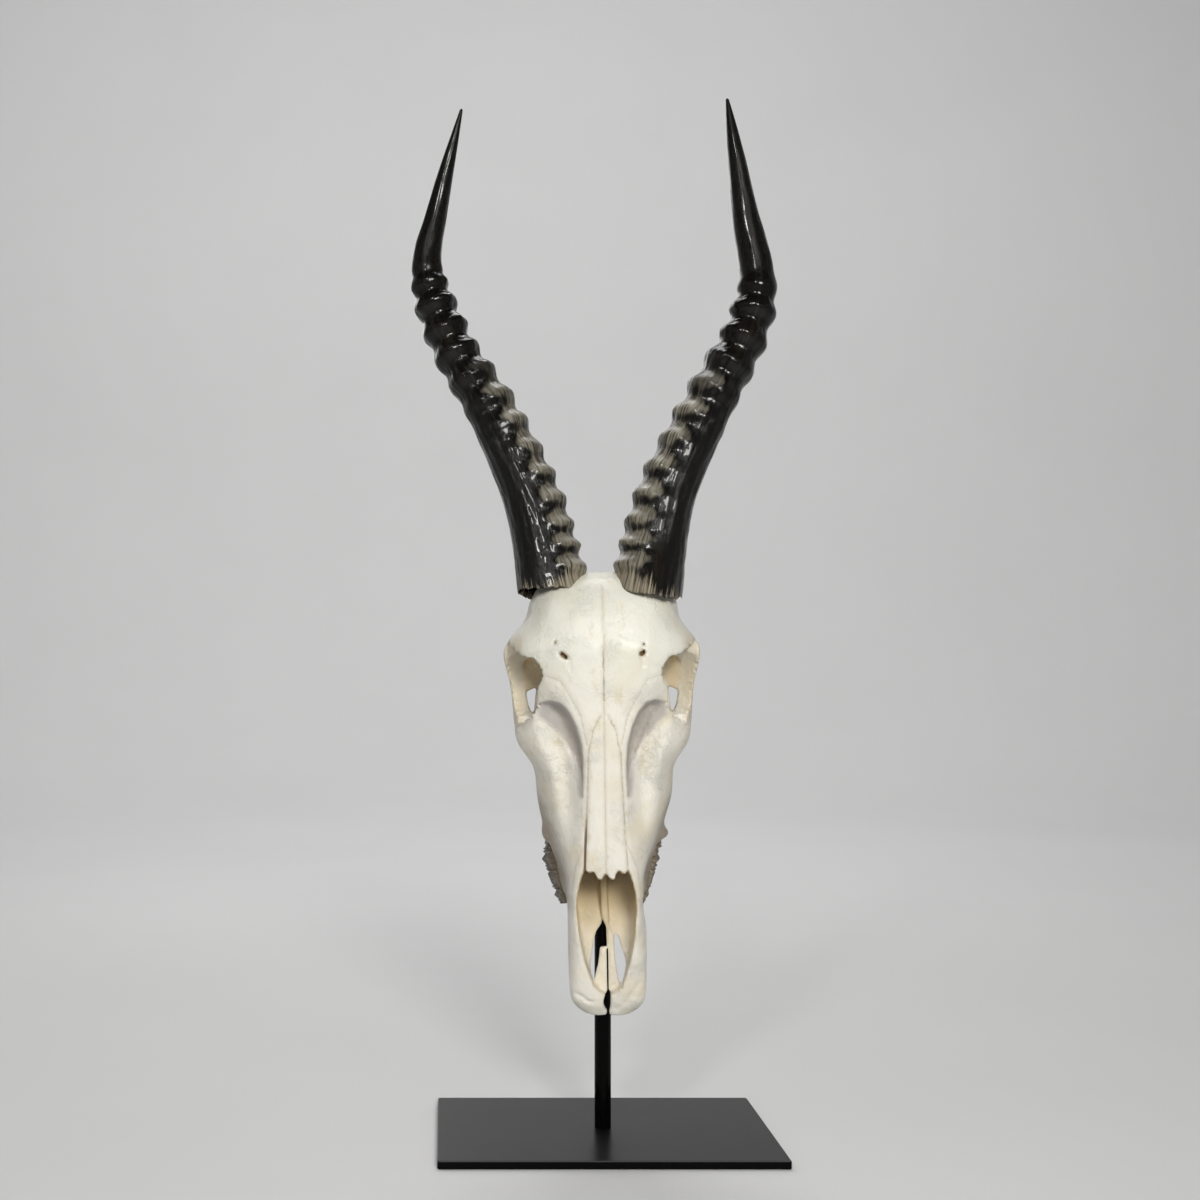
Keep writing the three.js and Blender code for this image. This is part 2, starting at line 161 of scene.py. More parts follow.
# %% The Wire class
class Wire:
    """An output socket of a node tree. Sums on it become Math nodes."""

    def __init__(self, socket):
        self.socket = socket
        self.tree = socket.id_data

    @staticmethod
    def node(tree, kind, settings=None, inputs=None, out=0):
        made = tree.nodes.new(kind)
        for name, value in (settings or {}).items():
            if name == "points":
                line = made.mapping.curves[0]
                line.points[0].location, line.points[-1].location = value[0], value[-1]
                for point in value[1:-1]:
                    line.points.new(*point)
                made.mapping.update()
            else:
                setattr(made, name, value)
        for key, value in (inputs or {}).items():
            if isinstance(value, Wire):
                tree.links.new(value.socket, made.inputs[key])
            else:
                made.inputs[key].default_value = value
        return Wire(made.outputs[out])

    def maths(self, operation, *others):
        inputs = dict(enumerate((self, *others)))
        return Wire.node(self.tree, "ShaderNodeMath", {"operation": operation}, inputs)

    def swapped(self, operation, other):
        inputs = {0: other, 1: self}
        return Wire.node(self.tree, "ShaderNodeMath", {"operation": operation}, inputs)

    def __add__(self, other):
        return self.maths("ADD", other)

    def __radd__(self, other):
        return self.swapped("ADD", other)

    def __sub__(self, other):
        return self.maths("SUBTRACT", other)

    def __rsub__(self, other):
        return self.swapped("SUBTRACT", other)

    def __mul__(self, other):
        return self.maths("MULTIPLY", other)

    def __rmul__(self, other):
        return self.swapped("MULTIPLY", other)

    def __truediv__(self, other):
        return self.maths("DIVIDE", other)

    def __rtruediv__(self, other):
        return self.swapped("DIVIDE", other)

    def __pow__(self, other):
        return self.maths("POWER", other)

    def __abs__(self):
        return self.maths("ABSOLUTE")

    def step(self, low, high):
        """0 up to low, 1 from high on, smooth between; falls when low is above high."""
        inputs = {"Value": self, "From Min": low, "From Max": high}
        settings = {"interpolation_type": "SMOOTHSTEP"}
        return Wire.node(self.tree, "ShaderNodeMapRange", settings, inputs)


print("Wire ready")


# %% Helpers for finishes
def vector(tree, x, y, z):
    return Wire.node(tree, "ShaderNodeCombineXYZ", None, {0: x, 1: y, 2: z})


def split(wire):
    made = Wire.node(wire.tree, "ShaderNodeSeparateXYZ", None, {0: wire}).socket.node
    return [Wire(socket) for socket in made.outputs]


def noise(wire, scale, detail=3.0, rough=0.55):
    inputs = {"Vector": wire, "Scale": scale, "Detail": detail, "Roughness": rough}
    return Wire.node(wire.tree, "ShaderNodeTexNoise", None, inputs)


def blend(share, first, second):
    """A Mix node for colours: sockets 6 and 7 are its colours and output 2 the mixed one."""
    inputs = {0: share, 6: first, 7: second}
    return Wire.node(share.tree, "ShaderNodeMix", {"data_type": "RGBA"}, inputs, 2)


def attribute(tree, name, out="Fac"):
    return Wire.node(tree, "ShaderNodeAttribute", {"attribute_name": name}, None, out)


def finish(name, constants):
    """A new material: its node tree and its shader, with the constants set on the sockets."""
    material = bpy.data.materials.new(name)
    material.use_nodes = True
    shader = material.node_tree.nodes["Principled BSDF"]
    for socket, value in constants.items():
        shader.inputs[socket].default_value = value
    return material, material.node_tree, shader


def into(shader, socket, wire):
    wire.tree.links.new(wire.socket, shader.inputs[socket])


def bumped(height, distance, strength=1.0):
    inputs = {"Height": height, "Distance": distance, "Strength": strength}
    return Wire.node(height.tree, "ShaderNodeBump", None, inputs)


print("helpers for finishes ready")

# %% [markdown]
# ## Seams of the bone
#
# A skull is grown together from many bones, and thin wavy seams, the sutures, stay visible. They
# could be painted into an image, but an image blurs when the camera comes close. Here each seam is
# a line of points in the plane of the face, in millimetres from the midline and above the floor.
# The shader takes the distance to the nearest stretch of it, with a wobble from noise.

# %% Seams
SUTURES = {
    "edge of the nasal bones": (0.34, [
        (12.5, 167), (11.2, 185), (10.2, 206.6), (9.6, 220.7), (9, 235), (6.2, 248), (2, 256),
    ]),
    "frontal to lacrimal": (0.2, [
        (35.2, 278.6), (29.3, 277.8), (23.4, 275.3), (19.3, 268), (16.2, 263), (12.9, 256),
        (9.5, 240),
    ]),
    "lacrimal to cheek": (0.12, [
        (39.3, 253.4), (35.6, 254), (32.1, 251.3), (26.3, 246.6), (20.8, 241), (16.6, 235),
        (13.9, 227.4), (12.6, 220.5),
    ]),
    "upper jaw to front jaw": (0.16, [(11.6, 183), (15, 175), (17.8, 168), (19.5, 155)]),
}

bone, tree, shader = finish("bone", {"Specular IOR Level": 0.4, "Coat Roughness": 0.32})
place = attribute(tree, "place", "Vector")
hollow = attribute(tree, "hollow")
x, y, z = split(place)
wobble_x = noise(place, 0.6, 4.0, 0.65) - 0.5
wobble_z = noise(vector(tree, z, x, y), 0.6, 4.0, 0.65) - 0.5
waver = 0.7 + z.step(226, 250) * 2.9
flat_point = vector(tree, abs(x) + wobble_x * waver, 0.0, z + wobble_z * waver)


def nearest_on(seam):
    """Distance from the shaded point to a seam, in the plane of the face."""
    nearest = None
    for (x1, z1), (x2, z2) in zip(seam, seam[1:]):
        run = Vector((x2 - x1, 0, z2 - z1))
        inputs = {0: flat_point, 1: (x1, 0, z1)}
        offset = Wire.node(tree, "ShaderNodeVectorMath", {"operation": "SUBTRACT"}, inputs)
        inputs = {0: offset, 1: tuple(run / run.length_squared)}
        settings = {"operation": "DOT_PRODUCT"}
        share = Wire.node(tree, "ShaderNodeVectorMath", settings, inputs, "Value")
        share = share.maths("MAXIMUM", 0.0).maths("MINIMUM", 1.0)
        along = vector(tree, share * run.x, 0.0, share * run.z)
        settings = {"operation": "DISTANCE"}
        apart = Wire.node(tree, "ShaderNodeVectorMath", settings, {0: offset, 1: along}, "Value")
        nearest = apart if nearest is None else nearest.maths("MINIMUM", apart)
    return nearest


broken = noise(place, 0.22, 2.0).step(0.3, 0.6)
midline = abs(x + wobble_x * 2.2 * z.step(240, 262))
on_midline = z.step(163, 166) * z.step(332, 326)
darkest = z.step(298, 288) * z.step(258, 270)
seam_line = midline.step(0.55, 0.1) * on_midline * (0.16 + 0.36 * darkest)
seam_edge = midline.step(2.0, 0.2) * on_midline * 0.5
for strength, seam in SUTURES.values():
    nearest = nearest_on(seam)
    seam_line = seam_line.maths("MAXIMUM", nearest.step(0.65, 0.12) * strength)
    seam_edge = seam_edge.maths("MAXIMUM", nearest.step(2.2, 0.2) * strength)
gape = (abs(x) - 11.9 + (z - 175) * 0.045).maths("ABSOLUTE").step(0.9, 0.45)
gape = gape * x.step(-5, -6) * z.step(166, 168) * z.step(203, 186)
on_face = y.step(-22, -34)
seam_line = seam_line * on_face * (0.35 + broken * 0.65)
seam_edge = seam_edge * on_face
print("seams:", ", ".join(SUTURES), "and the midline")

# %% [markdown]
# ## Colour of the bone
#
# Bleached bone is never one white. This one is ivory with warm and grey clouds, greyer on the brow,
# tan with stain in the nose and darker brown towards the back of the jaw above the tooth rows.
# Painted shade darkens it further: honey in the hollows, grey-mauve in the tear pits, tan in the
# eye wells, deep brown in the nerve holes and at the top of the nose, and brown, partly a real
# stain, on the flanks that turn away from the front lamps. One colour with noise would look like
# plaster, so each tone is laid over the last one through a mask of its own.
# The masks come from noise, from the place on the head, and from values that the mesh below keeps
# for each of its points.

# %% Colour of the bone
clouds = noise(place, 0.035, 4.0)
grain = noise(vector(tree, x, y, z * 0.3), 0.55, 4.0)
pores = noise(place, 1.4, 2.0)
IVORY, CREAM, GREY = (0.84, 0.805, 0.72, 1), (0.77, 0.69, 0.53, 1), (0.64, 0.63, 0.58, 1)
TAN, BROWN, HONEY = (0.44, 0.32, 0.17, 1), (0.13, 0.07, 0.032, 1), (0.6, 0.48, 0.3, 1)
FLANK, MAUVE, BROW = (0.44, 0.37, 0.27, 1), (0.43, 0.4, 0.375, 1), (0.66, 0.665, 0.59, 1)
BAR_TAN, REAR_JAW_BROWN = (0.62, 0.52, 0.37, 1), (0.24, 0.185, 0.12, 1)
TAN_STAIN_AND_SHADE, DEEP_BROWN = (0.66, 0.52, 0.31, 1), (0.2, 0.125, 0.055, 1)
colour = blend(clouds.step(0.46, 0.68) * 0.75, IVORY, CREAM)
colour = blend(noise(place, 0.05, 5.0, 0.62).step(0.5, 0.66) * 0.5, colour, GREY)
colour = blend(grain.step(0.52, 0.72) * 0.22, colour, CREAM)
colour = blend(z.step(256, 292) * (0.3 + clouds * 0.4), colour, BROW)
smear = noise(vector(tree, x * 1.3, y, z * 0.7), 0.09, 5.0, 0.68)
colour = blend(smear.step(0.56, 0.7) * 0.4, colour, HONEY)
# Painted shade: honey-brown where a point lies deep in a hollow, where shade would fall.
deep = (hollow + (clouds - 0.5) * 0.3).step(0.16, 0.8)
in_pit = attribute(tree, "pit")
deep = deep * (1 - in_pit * 0.85)
# Painted shade over a real brownish stain: browner on the flanks and the back, which turn away from
# the front lamps.
colour = blend(y.step(-54, -14) * z.step(136, 160) * (0.45 + clouds * 0.5), colour, FLANK)
bar = abs(x).step(42, 48) * z.step(246, 256) * z.step(306, 298)
colour = blend(bar * (0.3 + smear * 0.6), colour, BAR_TAN)
# Darker brown towards the back of the jaw, above the tooth rows.
rear_jaw_brown_mask = (y + smear * 16 - 8).step(-46, -24) * (z - smear * 30).step(202, 182)
colour = blend(rear_jaw_brown_mask * z.step(138, 150) * (0.5 + clouds * 0.6), colour, REAR_JAW_BROWN)
# Painted shade: grey-mauve in the tear pits.
colour = blend(in_pit * (0.75 + smear * 0.3), colour, MAUVE)
# Painted shade in the hollows.
colour = blend(deep * 0.85, colour, HONEY)
# Tan stain in the nose; in the eye wells the tan is painted shade as well.
colour = blend(attribute(tree, "stained") * 0.7, colour, TAN_STAIN_AND_SHADE)
# Painted shade: deep brown in the nerve holes and at the top of the nose.
colour = blend(attribute(tree, "core") * 0.9, colour, DEEP_BROWN)
colour = blend(seam_edge * 0.35, colour, TAN)
colour = blend(seam_line, colour, BROWN)
colour = blend(gape * 0.9, colour, BROWN)
colour = blend(pores.step(0.66, 0.74) * 0.3, colour, TAN)
into(shader, "Base Color", colour)
print("bone colour:", len(tree.nodes), "nodes so far")

# %% [markdown]
# ## Gloss and grain of the bone
#
# Handled bone is silky on the open faces and dull in the hollows, with pores, a fine grain and
# worm-like marks on the cheeks. These are too small to model, so they are a bump. A thin coat over
# the rough bone gives the silk better than a lower roughness, which would look wet.

# %% Gloss and grain of the bone
into(shader, "Roughness", 0.45 + (grain - 0.5) * 0.35 + deep * 0.3)
into(shader, "Coat Weight", (0.08 + clouds.step(0.4, 0.6) * 0.24) * (1 - deep))
on_cheek = abs(x).step(16, 24) * z.step(196, 210) * z.step(256, 240)
worms = abs(noise(place, 0.3, 3.0) - 0.5).step(0.06, 0.0)
worms = worms * (noise(place, 0.05, 2.0).step(0.45, 0.6) + on_cheek * 0.7)
height = grain * 0.4 + noise(place, 0.13, 4.0) * 1.5 - seam_line * 0.6
height = height - pores.step(0.62, 0.74) * 0.3 - worms * 0.5
into(shader, "Normal", bumped(height - gape, 0.0007, 0.6))
print("bone finish:", len(SUTURES) + 1, "seams")

# %% [markdown]
# ## Horn
#
# Polished horn is black and glossy, with fine fibres along it, straw-coloured wear on the ring
# crests of the lower half and a frayed tan edge at the bottom. The straw is paler on the upper
# flank of each ring and darker on the lower one: painted light, as if the lamps fell on the upper
# flanks. Noise in plain coordinates would run across the bends. So the geometry tree below stores
# how far along and around each point is, and noise stretched in those numbers makes fibres that
# follow the horn.

# %% Horn finish
horn, tree, shader = finish("horn", {"Specular IOR Level": 0.17, "Coat Roughness": 0.05})
along = attribute(tree, "along")
crest = attribute(tree, "crest")
around = attribute(tree, "around", "Vector")
ax, ay, _ = split(around)
fibre = noise(vector(tree, ax * 9.0, ay * 9.0, along * 0.03), 1.6, 5.0, 0.65)
streak = noise(vector(tree, ax * 5.0, ay * 5.0, along * 0.02), 1.3, 4.0)
patch = noise(vector(tree, ax * 1.6, ay * 1.6, along * 0.05), 1.5, 4.0, 0.6)
hair = noise(vector(tree, ax * 12.0, ay * 12.0, along * 0.014), 1.5, 4.0, 0.6)
pale_side = attribute(tree, "pale")
low_part = along.step(146, 96)
at_base = along.step(40, 5)
# Straw wear on the inner side and the crests; the crest value adds painted light, paler on the
# upper flank of each ring.
wear_and_flank_light = crest * 1.8 + streak * 0.7 + patch * 1.5 + pale_side * (1.4 + at_base * 0.3) - 2.55
wear_and_flank_light = wear_and_flank_light.step(0.0, 0.6) * low_part
frayed = along - pale_side * 9 + (hair - 0.5) * 26 + (patch - 0.5) * 12
frayed = frayed.step(4.0, -2.5) * along.step(24, 14)
BLACK, DARK = (0.004, 0.0036, 0.003, 1), (0.014, 0.011, 0.008, 1)
STRAW, FRAY, CREST_WEAR_AND_FLANK_LIGHT = (0.22, 0.2, 0.155, 1), (0.33, 0.28, 0.2, 1), (0.45, 0.425, 0.36, 1)
colour = blend(streak.step(0.5, 0.75), BLACK, DARK)
colour = blend(wear_and_flank_light * (0.3 + fibre.step(0.36, 0.6) * 0.65), colour, STRAW)
# Painted light with wear: a paler straw on the upper flanks of the rings.
colour = blend(wear_and_flank_light * crest.step(0.5, 0.85) * 0.6, colour, CREST_WEAR_AND_FLANK_LIGHT)
colour = blend(wear_and_flank_light * hair.step(0.54, 0.6) * 0.8, colour, DARK)
colour = blend(frayed * (0.25 + hair.step(0.56, 0.4) * 0.65), colour, FRAY)
into(shader, "Base Color", colour)
dull = patch.step(0.42, 0.6) * along.step(190, 215)
into(shader, "Roughness", 0.13 + fibre * 0.1 + wear_and_flank_light * 0.16 + frayed * 0.4 + dull * 0.25)
into(shader, "Coat Weight", 0.27 - frayed * 0.27 - dull * 0.24)
height = fibre * 0.6 + hair * 0.5 + patch * 0.5
into(shader, "Normal", bumped(height * along.step(215, 60), 0.0009, 0.7))
print("horn finish:", len(tree.nodes), "nodes")

# %% [markdown]
# ## Tooth
#
# The cheek teeth of a grazer are stained grey-brown, with darker stripes up the crown and old
# dirt between them. Stripes could be cut as grooves, but they are only stain: noise that is
# stretched along the crown gives them, and a paler band stays at the gum line.

# %% Tooth finish
GUM_LINE, STRIPE_PALE = (0.24, 0.19, 0.13, 1), (0.2, 0.17, 0.12, 1)
STRIPE_DARK, TARTAR = (0.06, 0.048, 0.034, 1), (0.028, 0.022, 0.016, 1)
tooth, tree, shader = finish("tooth", {"Specular IOR Level": 0.5})
up = attribute(tree, "up")
spot = attribute(tree, "place", "Vector")
px, py, pz = split(spot)
stripe = noise(vector(tree, px, py * 0.12, pz), 0.9, 4.0)
stain = noise(spot, 0.4, 4.0)
colour = blend(stripe.step(0.42, 0.62), STRIPE_PALE, STRIPE_DARK)
colour = blend(stain.step(0.5, 0.66) * 0.7, colour, TARTAR)
colour = blend(up.step(0.35, 0.1) * 0.5, colour, GUM_LINE)
into(shader, "Base Color", colour)
into(shader, "Roughness", 0.35 + stain * 0.3)
into(shader, "Normal", bumped(stripe * 0.8 + stain * 0.4, 0.0004, 0.6))
print("tooth finish:", len(tree.nodes), "nodes")

# %% [markdown]
# ## Coated steel
#
# The stand is mild steel with a thin black coat. The faint brushing of the rolled sheet shows
# through it. A thin lighter band just under the top edge is a painted highlight, and the sides of
# the plate get painted shade. The plate and the rod are the CAD solids themselves, so their finish
# reads Object coordinates, and the height tells the side of the plate from its top. A second,
# darker and duller shader is mixed in there as the painted shade.

# %% Coated steel finish
PLATE_THICKNESS = 0.005
SIDE_SHADE_BLACK, SPECK = (0.003, 0.0031, 0.0034, 1), (0.1, 0.098, 0.09, 1)
EDGE_HIGHLIGHT = (0.07, 0.072, 0.076, 1)


def grey(level):
    return (level, level * 1.03, level, 1)


def coated_steel(name, black, specular, rough):
    """Black coated steel; a painted highlight under the plate's top edge, painted shade on its
    sides.
    """
    material, tree, shader = finish(name, {"Specular IOR Level": specular})
    spot = Wire.node(tree, "ShaderNodeTexCoord", None, None, "Object")
    sx, sy, sz = split(spot)
    cloud = noise(spot, 14.0, 3.0)
    brushed = noise(vector(tree, sx * 0.06, sy, sz), 700.0, 3.0)
    speck = noise(spot, 240.0, 1.0).step(0.8, 0.84)
    edge = sz.step(PLATE_THICKNESS - 0.0004, PLATE_THICKNESS - 0.0008)
    # Painted highlight: a thin lighter band just under the top edge.
    edge_highlight = sz.step(PLATE_THICKNESS - 0.0009, PLATE_THICKNESS - 0.0004)
    edge_highlight = edge_highlight * sz.step(PLATE_THICKNESS - 0.00002, PLATE_THICKNESS - 0.0002)
    colour = blend(cloud, grey(black), grey(black * 1.75))
    colour = blend(brushed.step(0.45, 0.8) * 0.35, colour, grey(black * 2.5))
    colour = blend(speck * 0.3, colour, SPECK)
    colour = blend(edge_highlight, colour, EDGE_HIGHLIGHT)
    into(shader, "Base Color", colour)
    into(shader, "Roughness", rough + cloud * 0.05 + brushed * 0.06 + speck * 0.3)
    bump = bumped(brushed * 0.5 + noise(spot, 900.0, 2.0) * 0.5, 0.00008, 0.35)
    into(shader, "Normal", bump)
    # Painted shade: a darker, duller copy of the shader for the sides of the plate.
    inputs = {"Base Color": SIDE_SHADE_BLACK, "Specular IOR Level": 0.03, "Roughness": 0.4}
    dull = Wire.node(tree, "ShaderNodeBsdfPrincipled", None, inputs)
    inputs = {0: edge, 1: Wire(shader.outputs[0]), 2: dull}
    mixed = Wire.node(tree, "ShaderNodeMixShader", None, inputs)
    tree.links.new(mixed.socket, tree.nodes["Material Output"].inputs["Surface"])
    return material


for name, *look in (("base_plate", 0.004, 0.17, 0.25), ("rod", 0.0012, 0.05, 0.08)):
    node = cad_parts[name]
    node.data.materials.clear()
    node.data.materials.append(coated_steel(f"coated steel {name}", *look))
print("coated steel finish on plate and rod")

# %% [markdown]
# ## Pale floor
#
# Studio paper is matt and almost even. A single grey would do, but a very faint cloud keeps it
# from looking like an empty picture. It is nearly free of gloss, so that no lamp shines up from it.

# %% Floor finish
pale, tree, shader = finish("pale floor", {"Roughness": 0.75, "Specular IOR Level": 0.1})
spot = Wire.node(tree, "ShaderNodeTexCoord", None, None, "Object")
colour = blend(noise(spot, 3.0), (0.7, 0.7, 0.7, 1), (0.74, 0.74, 0.74, 1))
into(shader, "Base Color", colour)
floor_mesh.materials.append(pale)
print("floor finish ready")

# %% [markdown]
# ## The skull as a field
#
# A skull has hardly a flat face or a sharp edge, and it is full of holes. It could be sculpted, or
# built from lofts and booleans, but sculpting is done by hand and booleans leave sharp edges. So
# the bone is modelled as numbers on a fine grid: below zero inside the bone, above zero
# outside. Half outlines at nineteen heights, the ones the CAD model is lofted through, give the
# body. All lengths are millimetres in the frame of the upright head: x from the midline, y from the
# rod towards the back, z above the floor.

# %% Outlines and grid
OUTLINES = [
    (78, (0, -19), (4, -20), (9, -20), (13, -18.5), (14.5, -15.5), (10, -12), (5, -11.5),
     (0, -11.5)),
    (85, (0, -23), (8, -25), (15, -24), (19.4, -21), (20.9, -17), (16, -10.5), (8, -10), (0, -10)),
    (95, (0, -25), (9, -28), (17, -27), (21.5, -23), (22.4, -18), (18, -10), (9, -10), (0, -10)),
    (117, (0, -30), (9, -34), (17, -34), (21.7, -28), (23, -20), (19, -10), (9, -10.5), (0, -11)),
    (140, (0, -40), (9, -44), (17, -43), (21.7, -35), (23, -24), (21, -8), (12, -11), (0, -12)),
    (155, (0, -50), (10, -51), (17, -48), (21.8, -38), (24.5, -22), (27, -4), (15, -12), (0, -13)),
    (165, (0, -56.5), (10.5, -55.5), (17.5, -49.5), (22.2, -39), (26, -22), (29.5, -3.5),
     (17, -12.5), (0, -13.5)),
    (185, (0, -62), (10.5, -60.5), (19.5, -52), (26.5, -42), (34.5, -20), (32, -3), (19, -13),
     (0, -14)),
    (205, (0, -67.5), (10.3, -65.8), (20, -54), (29.5, -47.5), (38.9, -24), (33, -3), (19, -14),
     (0, -15)),
    (225, (0, -73.5), (10.5, -71.5), (21, -57.5), (32, -55), (40.8, -33), (34, -5), (18, -16),
     (0, -17)),
    (240, (0, -78), (12, -75.5), (23.5, -60), (37, -60.5), (49.2, -40), (38, -14), (18, -20),
     (0, -22)),
    (255, (0, -82.5), (16, -79.5), (30, -67.5), (41.5, -62), (52.3, -40), (44, -22), (22, -22),
     (0, -23)),
    (272, (0, -86.5), (22, -83.5), (34, -77), (46, -60), (54, -39), (47, -20), (22, -13), (0, -13)),
    (290, (0, -88.4), (28, -85.4), (44, -76.5), (54, -58), (57.2, -42), (49, -18), (21, -3),
     (0, -2)),
    (299, (0, -87.6), (29, -83.7), (43, -75.5), (51.5, -61), (53.8, -45), (44, -14), (20, 4),
     (0, 7)),
    (311, (0, -84.6), (27, -80.2), (37.5, -72), (43, -60), (44.1, -45), (34, -7), (17, 9), (0, 12)),
    (322, (0, -79), (24, -76), (34, -69), (40, -57), (40, -42), (28, -6), (14, 6), (0, 9)),
    (331, (0, -70), (20, -68), (29, -62.5), (34, -53), (33, -40), (21, -13), (10, -6), (0, -4)),
    (337, (0, -57), (9, -56), (15, -53), (18, -47), (17, -40), (11, -30), (6, -28), (0, -27)),
]
GRID = 1.2
half_x = np.arange(0, 61.9, GRID, dtype=np.float32)
grid_y = np.arange(-96.6, 33, GRID, dtype=np.float32)
grid_z = np.arange(73.2, 346, GRID, dtype=np.float32)
print("grid steps:", len(half_x), len(grid_y), len(grid_z))


# %% Curves through points
def catmull(points, share):
    """Catmull-Rom through the points; share counts in points from the first."""
    points = np.asarray(points, float)
    row = np.concatenate([[2 * points[0] - points[1]], points, [2 * points[-1] - points[-2]]])
    i = np.clip(share.astype(int), 0, len(points) - 2)
    t = (share - i).reshape(-1, *[1] * (points.ndim - 1))
    a, b, c, d = (row[i + k] for k in range(4))
    return b + t / 2 * (c - a + t * (2 * a - 5 * b + 4 * c - d + t * (3 * (b - c) + d - a)))


def outline_rings(heights, per_side=6):
    """The closed outline at each height, through the eight half points and their mirrors."""
    table = np.array([[z, *np.ravel(points)] for z, *points in OUTLINES], float)
    fine = np.linspace(0, len(table) - 1, 4000)
    share = np.interp(heights, catmull(table[:, 0], fine), fine)
    halves = catmull(table[:, 1:], share).reshape(len(heights), 8, 2)
    ring = np.concatenate([halves, halves[:, 6:0:-1] * (-1, 1)], axis=1)
    a, b, c, d = (np.roll(ring, 1 - k, axis=1)[:, :, None] for k in range(4))
    t = (np.arange(per_side) / per_side)[None, None, :, None]
    points = b + t / 2 * (c - a + t * (2 * a - 5 * b + 4 * c - d + t * (3 * (b - c) + d - a)))
    return points.reshape(len(heights), -1, 2)


def to_segments(u, v, points, closed):
    """Distance from each (u, v) to a polyline; below zero inside it when it is closed."""
    points = np.asarray(points, np.float32)
    ends = np.roll(points, -1, axis=0)
    if not closed:
        points, ends = points[:-1], ends[:-1]
    best = np.full(np.broadcast(u, v).shape, 1e9, np.float32)
    inside = np.zeros(best.shape, bool)
    for (au, av), (bu, bv) in zip(points, ends):
        du, dv = bu - au, bv - av
        pu, pv = u - au, v - av
        share = np.clip((pu * du + pv * dv) / max(du * du + dv * dv, 1e-9), 0, 1)
        np.minimum(best, (pu - share * du) ** 2 + (pv - share * dv) ** 2, out=best)
        if closed and dv != 0:
            inside ^= ((av > v) != (bv > v)) & (pu < pv * du / dv)
    best = np.sqrt(best)
    return np.where(inside, -best, best)


print("curves ready")

# %% Body of the skull
LOWEST, HIGHEST, CHIN = 78, 337, 76.6
rings = outline_rings(np.clip(grid_z, LOWEST, HIGHEST))
body = np.empty((len(half_x), len(grid_y), len(grid_z)), np.float32)
for k, ring in enumerate(rings):
    flat = to_segments(half_x[:, None], grid_y[None, :], ring, True)
    beyond = max(CHIN - grid_z[k], grid_z[k] - HIGHEST, 0)
    body[:, :, k] = np.hypot(np.maximum(flat, 0), beyond) if beyond else flat
slope = np.sqrt(sum(g * g for g in np.gradient(body, GRID)))
body /= np.maximum(slope, 1)
print("body field:", body.shape, "points")

# %% [markdown]
# ## Cutting and adding
#
# Two fields are joined by taking the smaller number at each grid point, and one is cut from the
# other by taking the larger. Plain minimum and maximum give sharp edges. Smooth ones round them
# over a chosen width, the way bone is rounded. First comes everything that is the same on both
# sides, on half the grid.


# %% Smooth joins and simple solids
def join(a, b, soft):
    h = np.clip(0.5 + (b - a) / (2 * soft), 0, 1)
    return b + (a - b) * h - soft * h * (1 - h)


def common(a, b, soft):
    return -join(-a, -b, soft)


def cut(a, b, soft):
    return common(a, -b, soft)


def ramp(value, low, high):
    """0 at low, 1 at high, smooth between."""
    t = np.clip((value - low) / (high - low), 0, 1)
    return t * t * (3 - 2 * t)


def ball(place, middle, radii, turn=0.0):
    """A stretched ball, turned about the upright axis."""
    px, py, pz = (p - m for p, m in zip(place, middle))
    c, s = math.cos(math.radians(turn)), math.sin(math.radians(turn))
    px, py = px * c + py * s, py * c - px * s
    unit = np.sqrt((px / radii[0]) ** 2 + (py / radii[1]) ** 2 + (pz / radii[2]) ** 2)
    steep = np.sqrt(
        (px / radii[0] ** 2) ** 2 + (py / radii[1] ** 2) ** 2 + (pz / radii[2] ** 2) ** 2
    )
    return unit * (unit - 1) / np.maximum(steep, 1e-6)


def taper(place, start, end, radius, end_radius):
    """A round bar that changes its radius along its length."""
    run = np.subtract(end, start)
    offset = [p - s for p, s in zip(place, start)]
    share = np.clip(sum(o * r for o, r in zip(offset, run)) / (run @ run), 0, 1)
    apart = np.sqrt(sum((o - share * r) ** 2 for o, r in zip(offset, run)))
    return apart - (radius + share * (end_radius - radius))


HALF = (half_x[:, None, None], grid_y[None, :, None], grid_z[None, None, :])
flat_x, flat_z = half_x[:, None], grid_z[None, :]
print("joins and solids ready")

# %% [markdown]
# ## Relief of the face
#
# In front of each eye lies a tear pit, a long hollow that is steep at its upper rim and runs out
# softly below. The nasal bones are arched like two roof tiles, and the brow swells on both sides of
# the midline. All of this is seen from the front, so it is worked out as one map of depths over
# the face, which is then pressed into the front of the body.

# %% Relief of the face
PIT_UPPER = [
    (41, 263), (34.4, 264.6), (29.2, 265.2), (23.2, 263.3), (18.7, 258), (15.1, 250.4),
    (12.4, 239.8), (11.6, 229.3), (11.6, 221), (11.8, 211),
]
PIT_LOWER = [
    (42, 257.4), (34, 256), (28.5, 252), (24, 247.2), (19.8, 241), (16.8, 234), (15.2, 226.3),
    (14.2, 219), (12.8, 211),
]
PIT_FOOT = [
    (42, 254), (34, 252), (29.5, 248.5), (25, 242.4), (21, 234.2), (18.6, 226), (16.6, 218),
    (13.6, 211),
]
PIT_DEPTH, NASAL_ARCH, BROW_SWELL, BROW_HALF = 7, 1.6, 1.3, 32

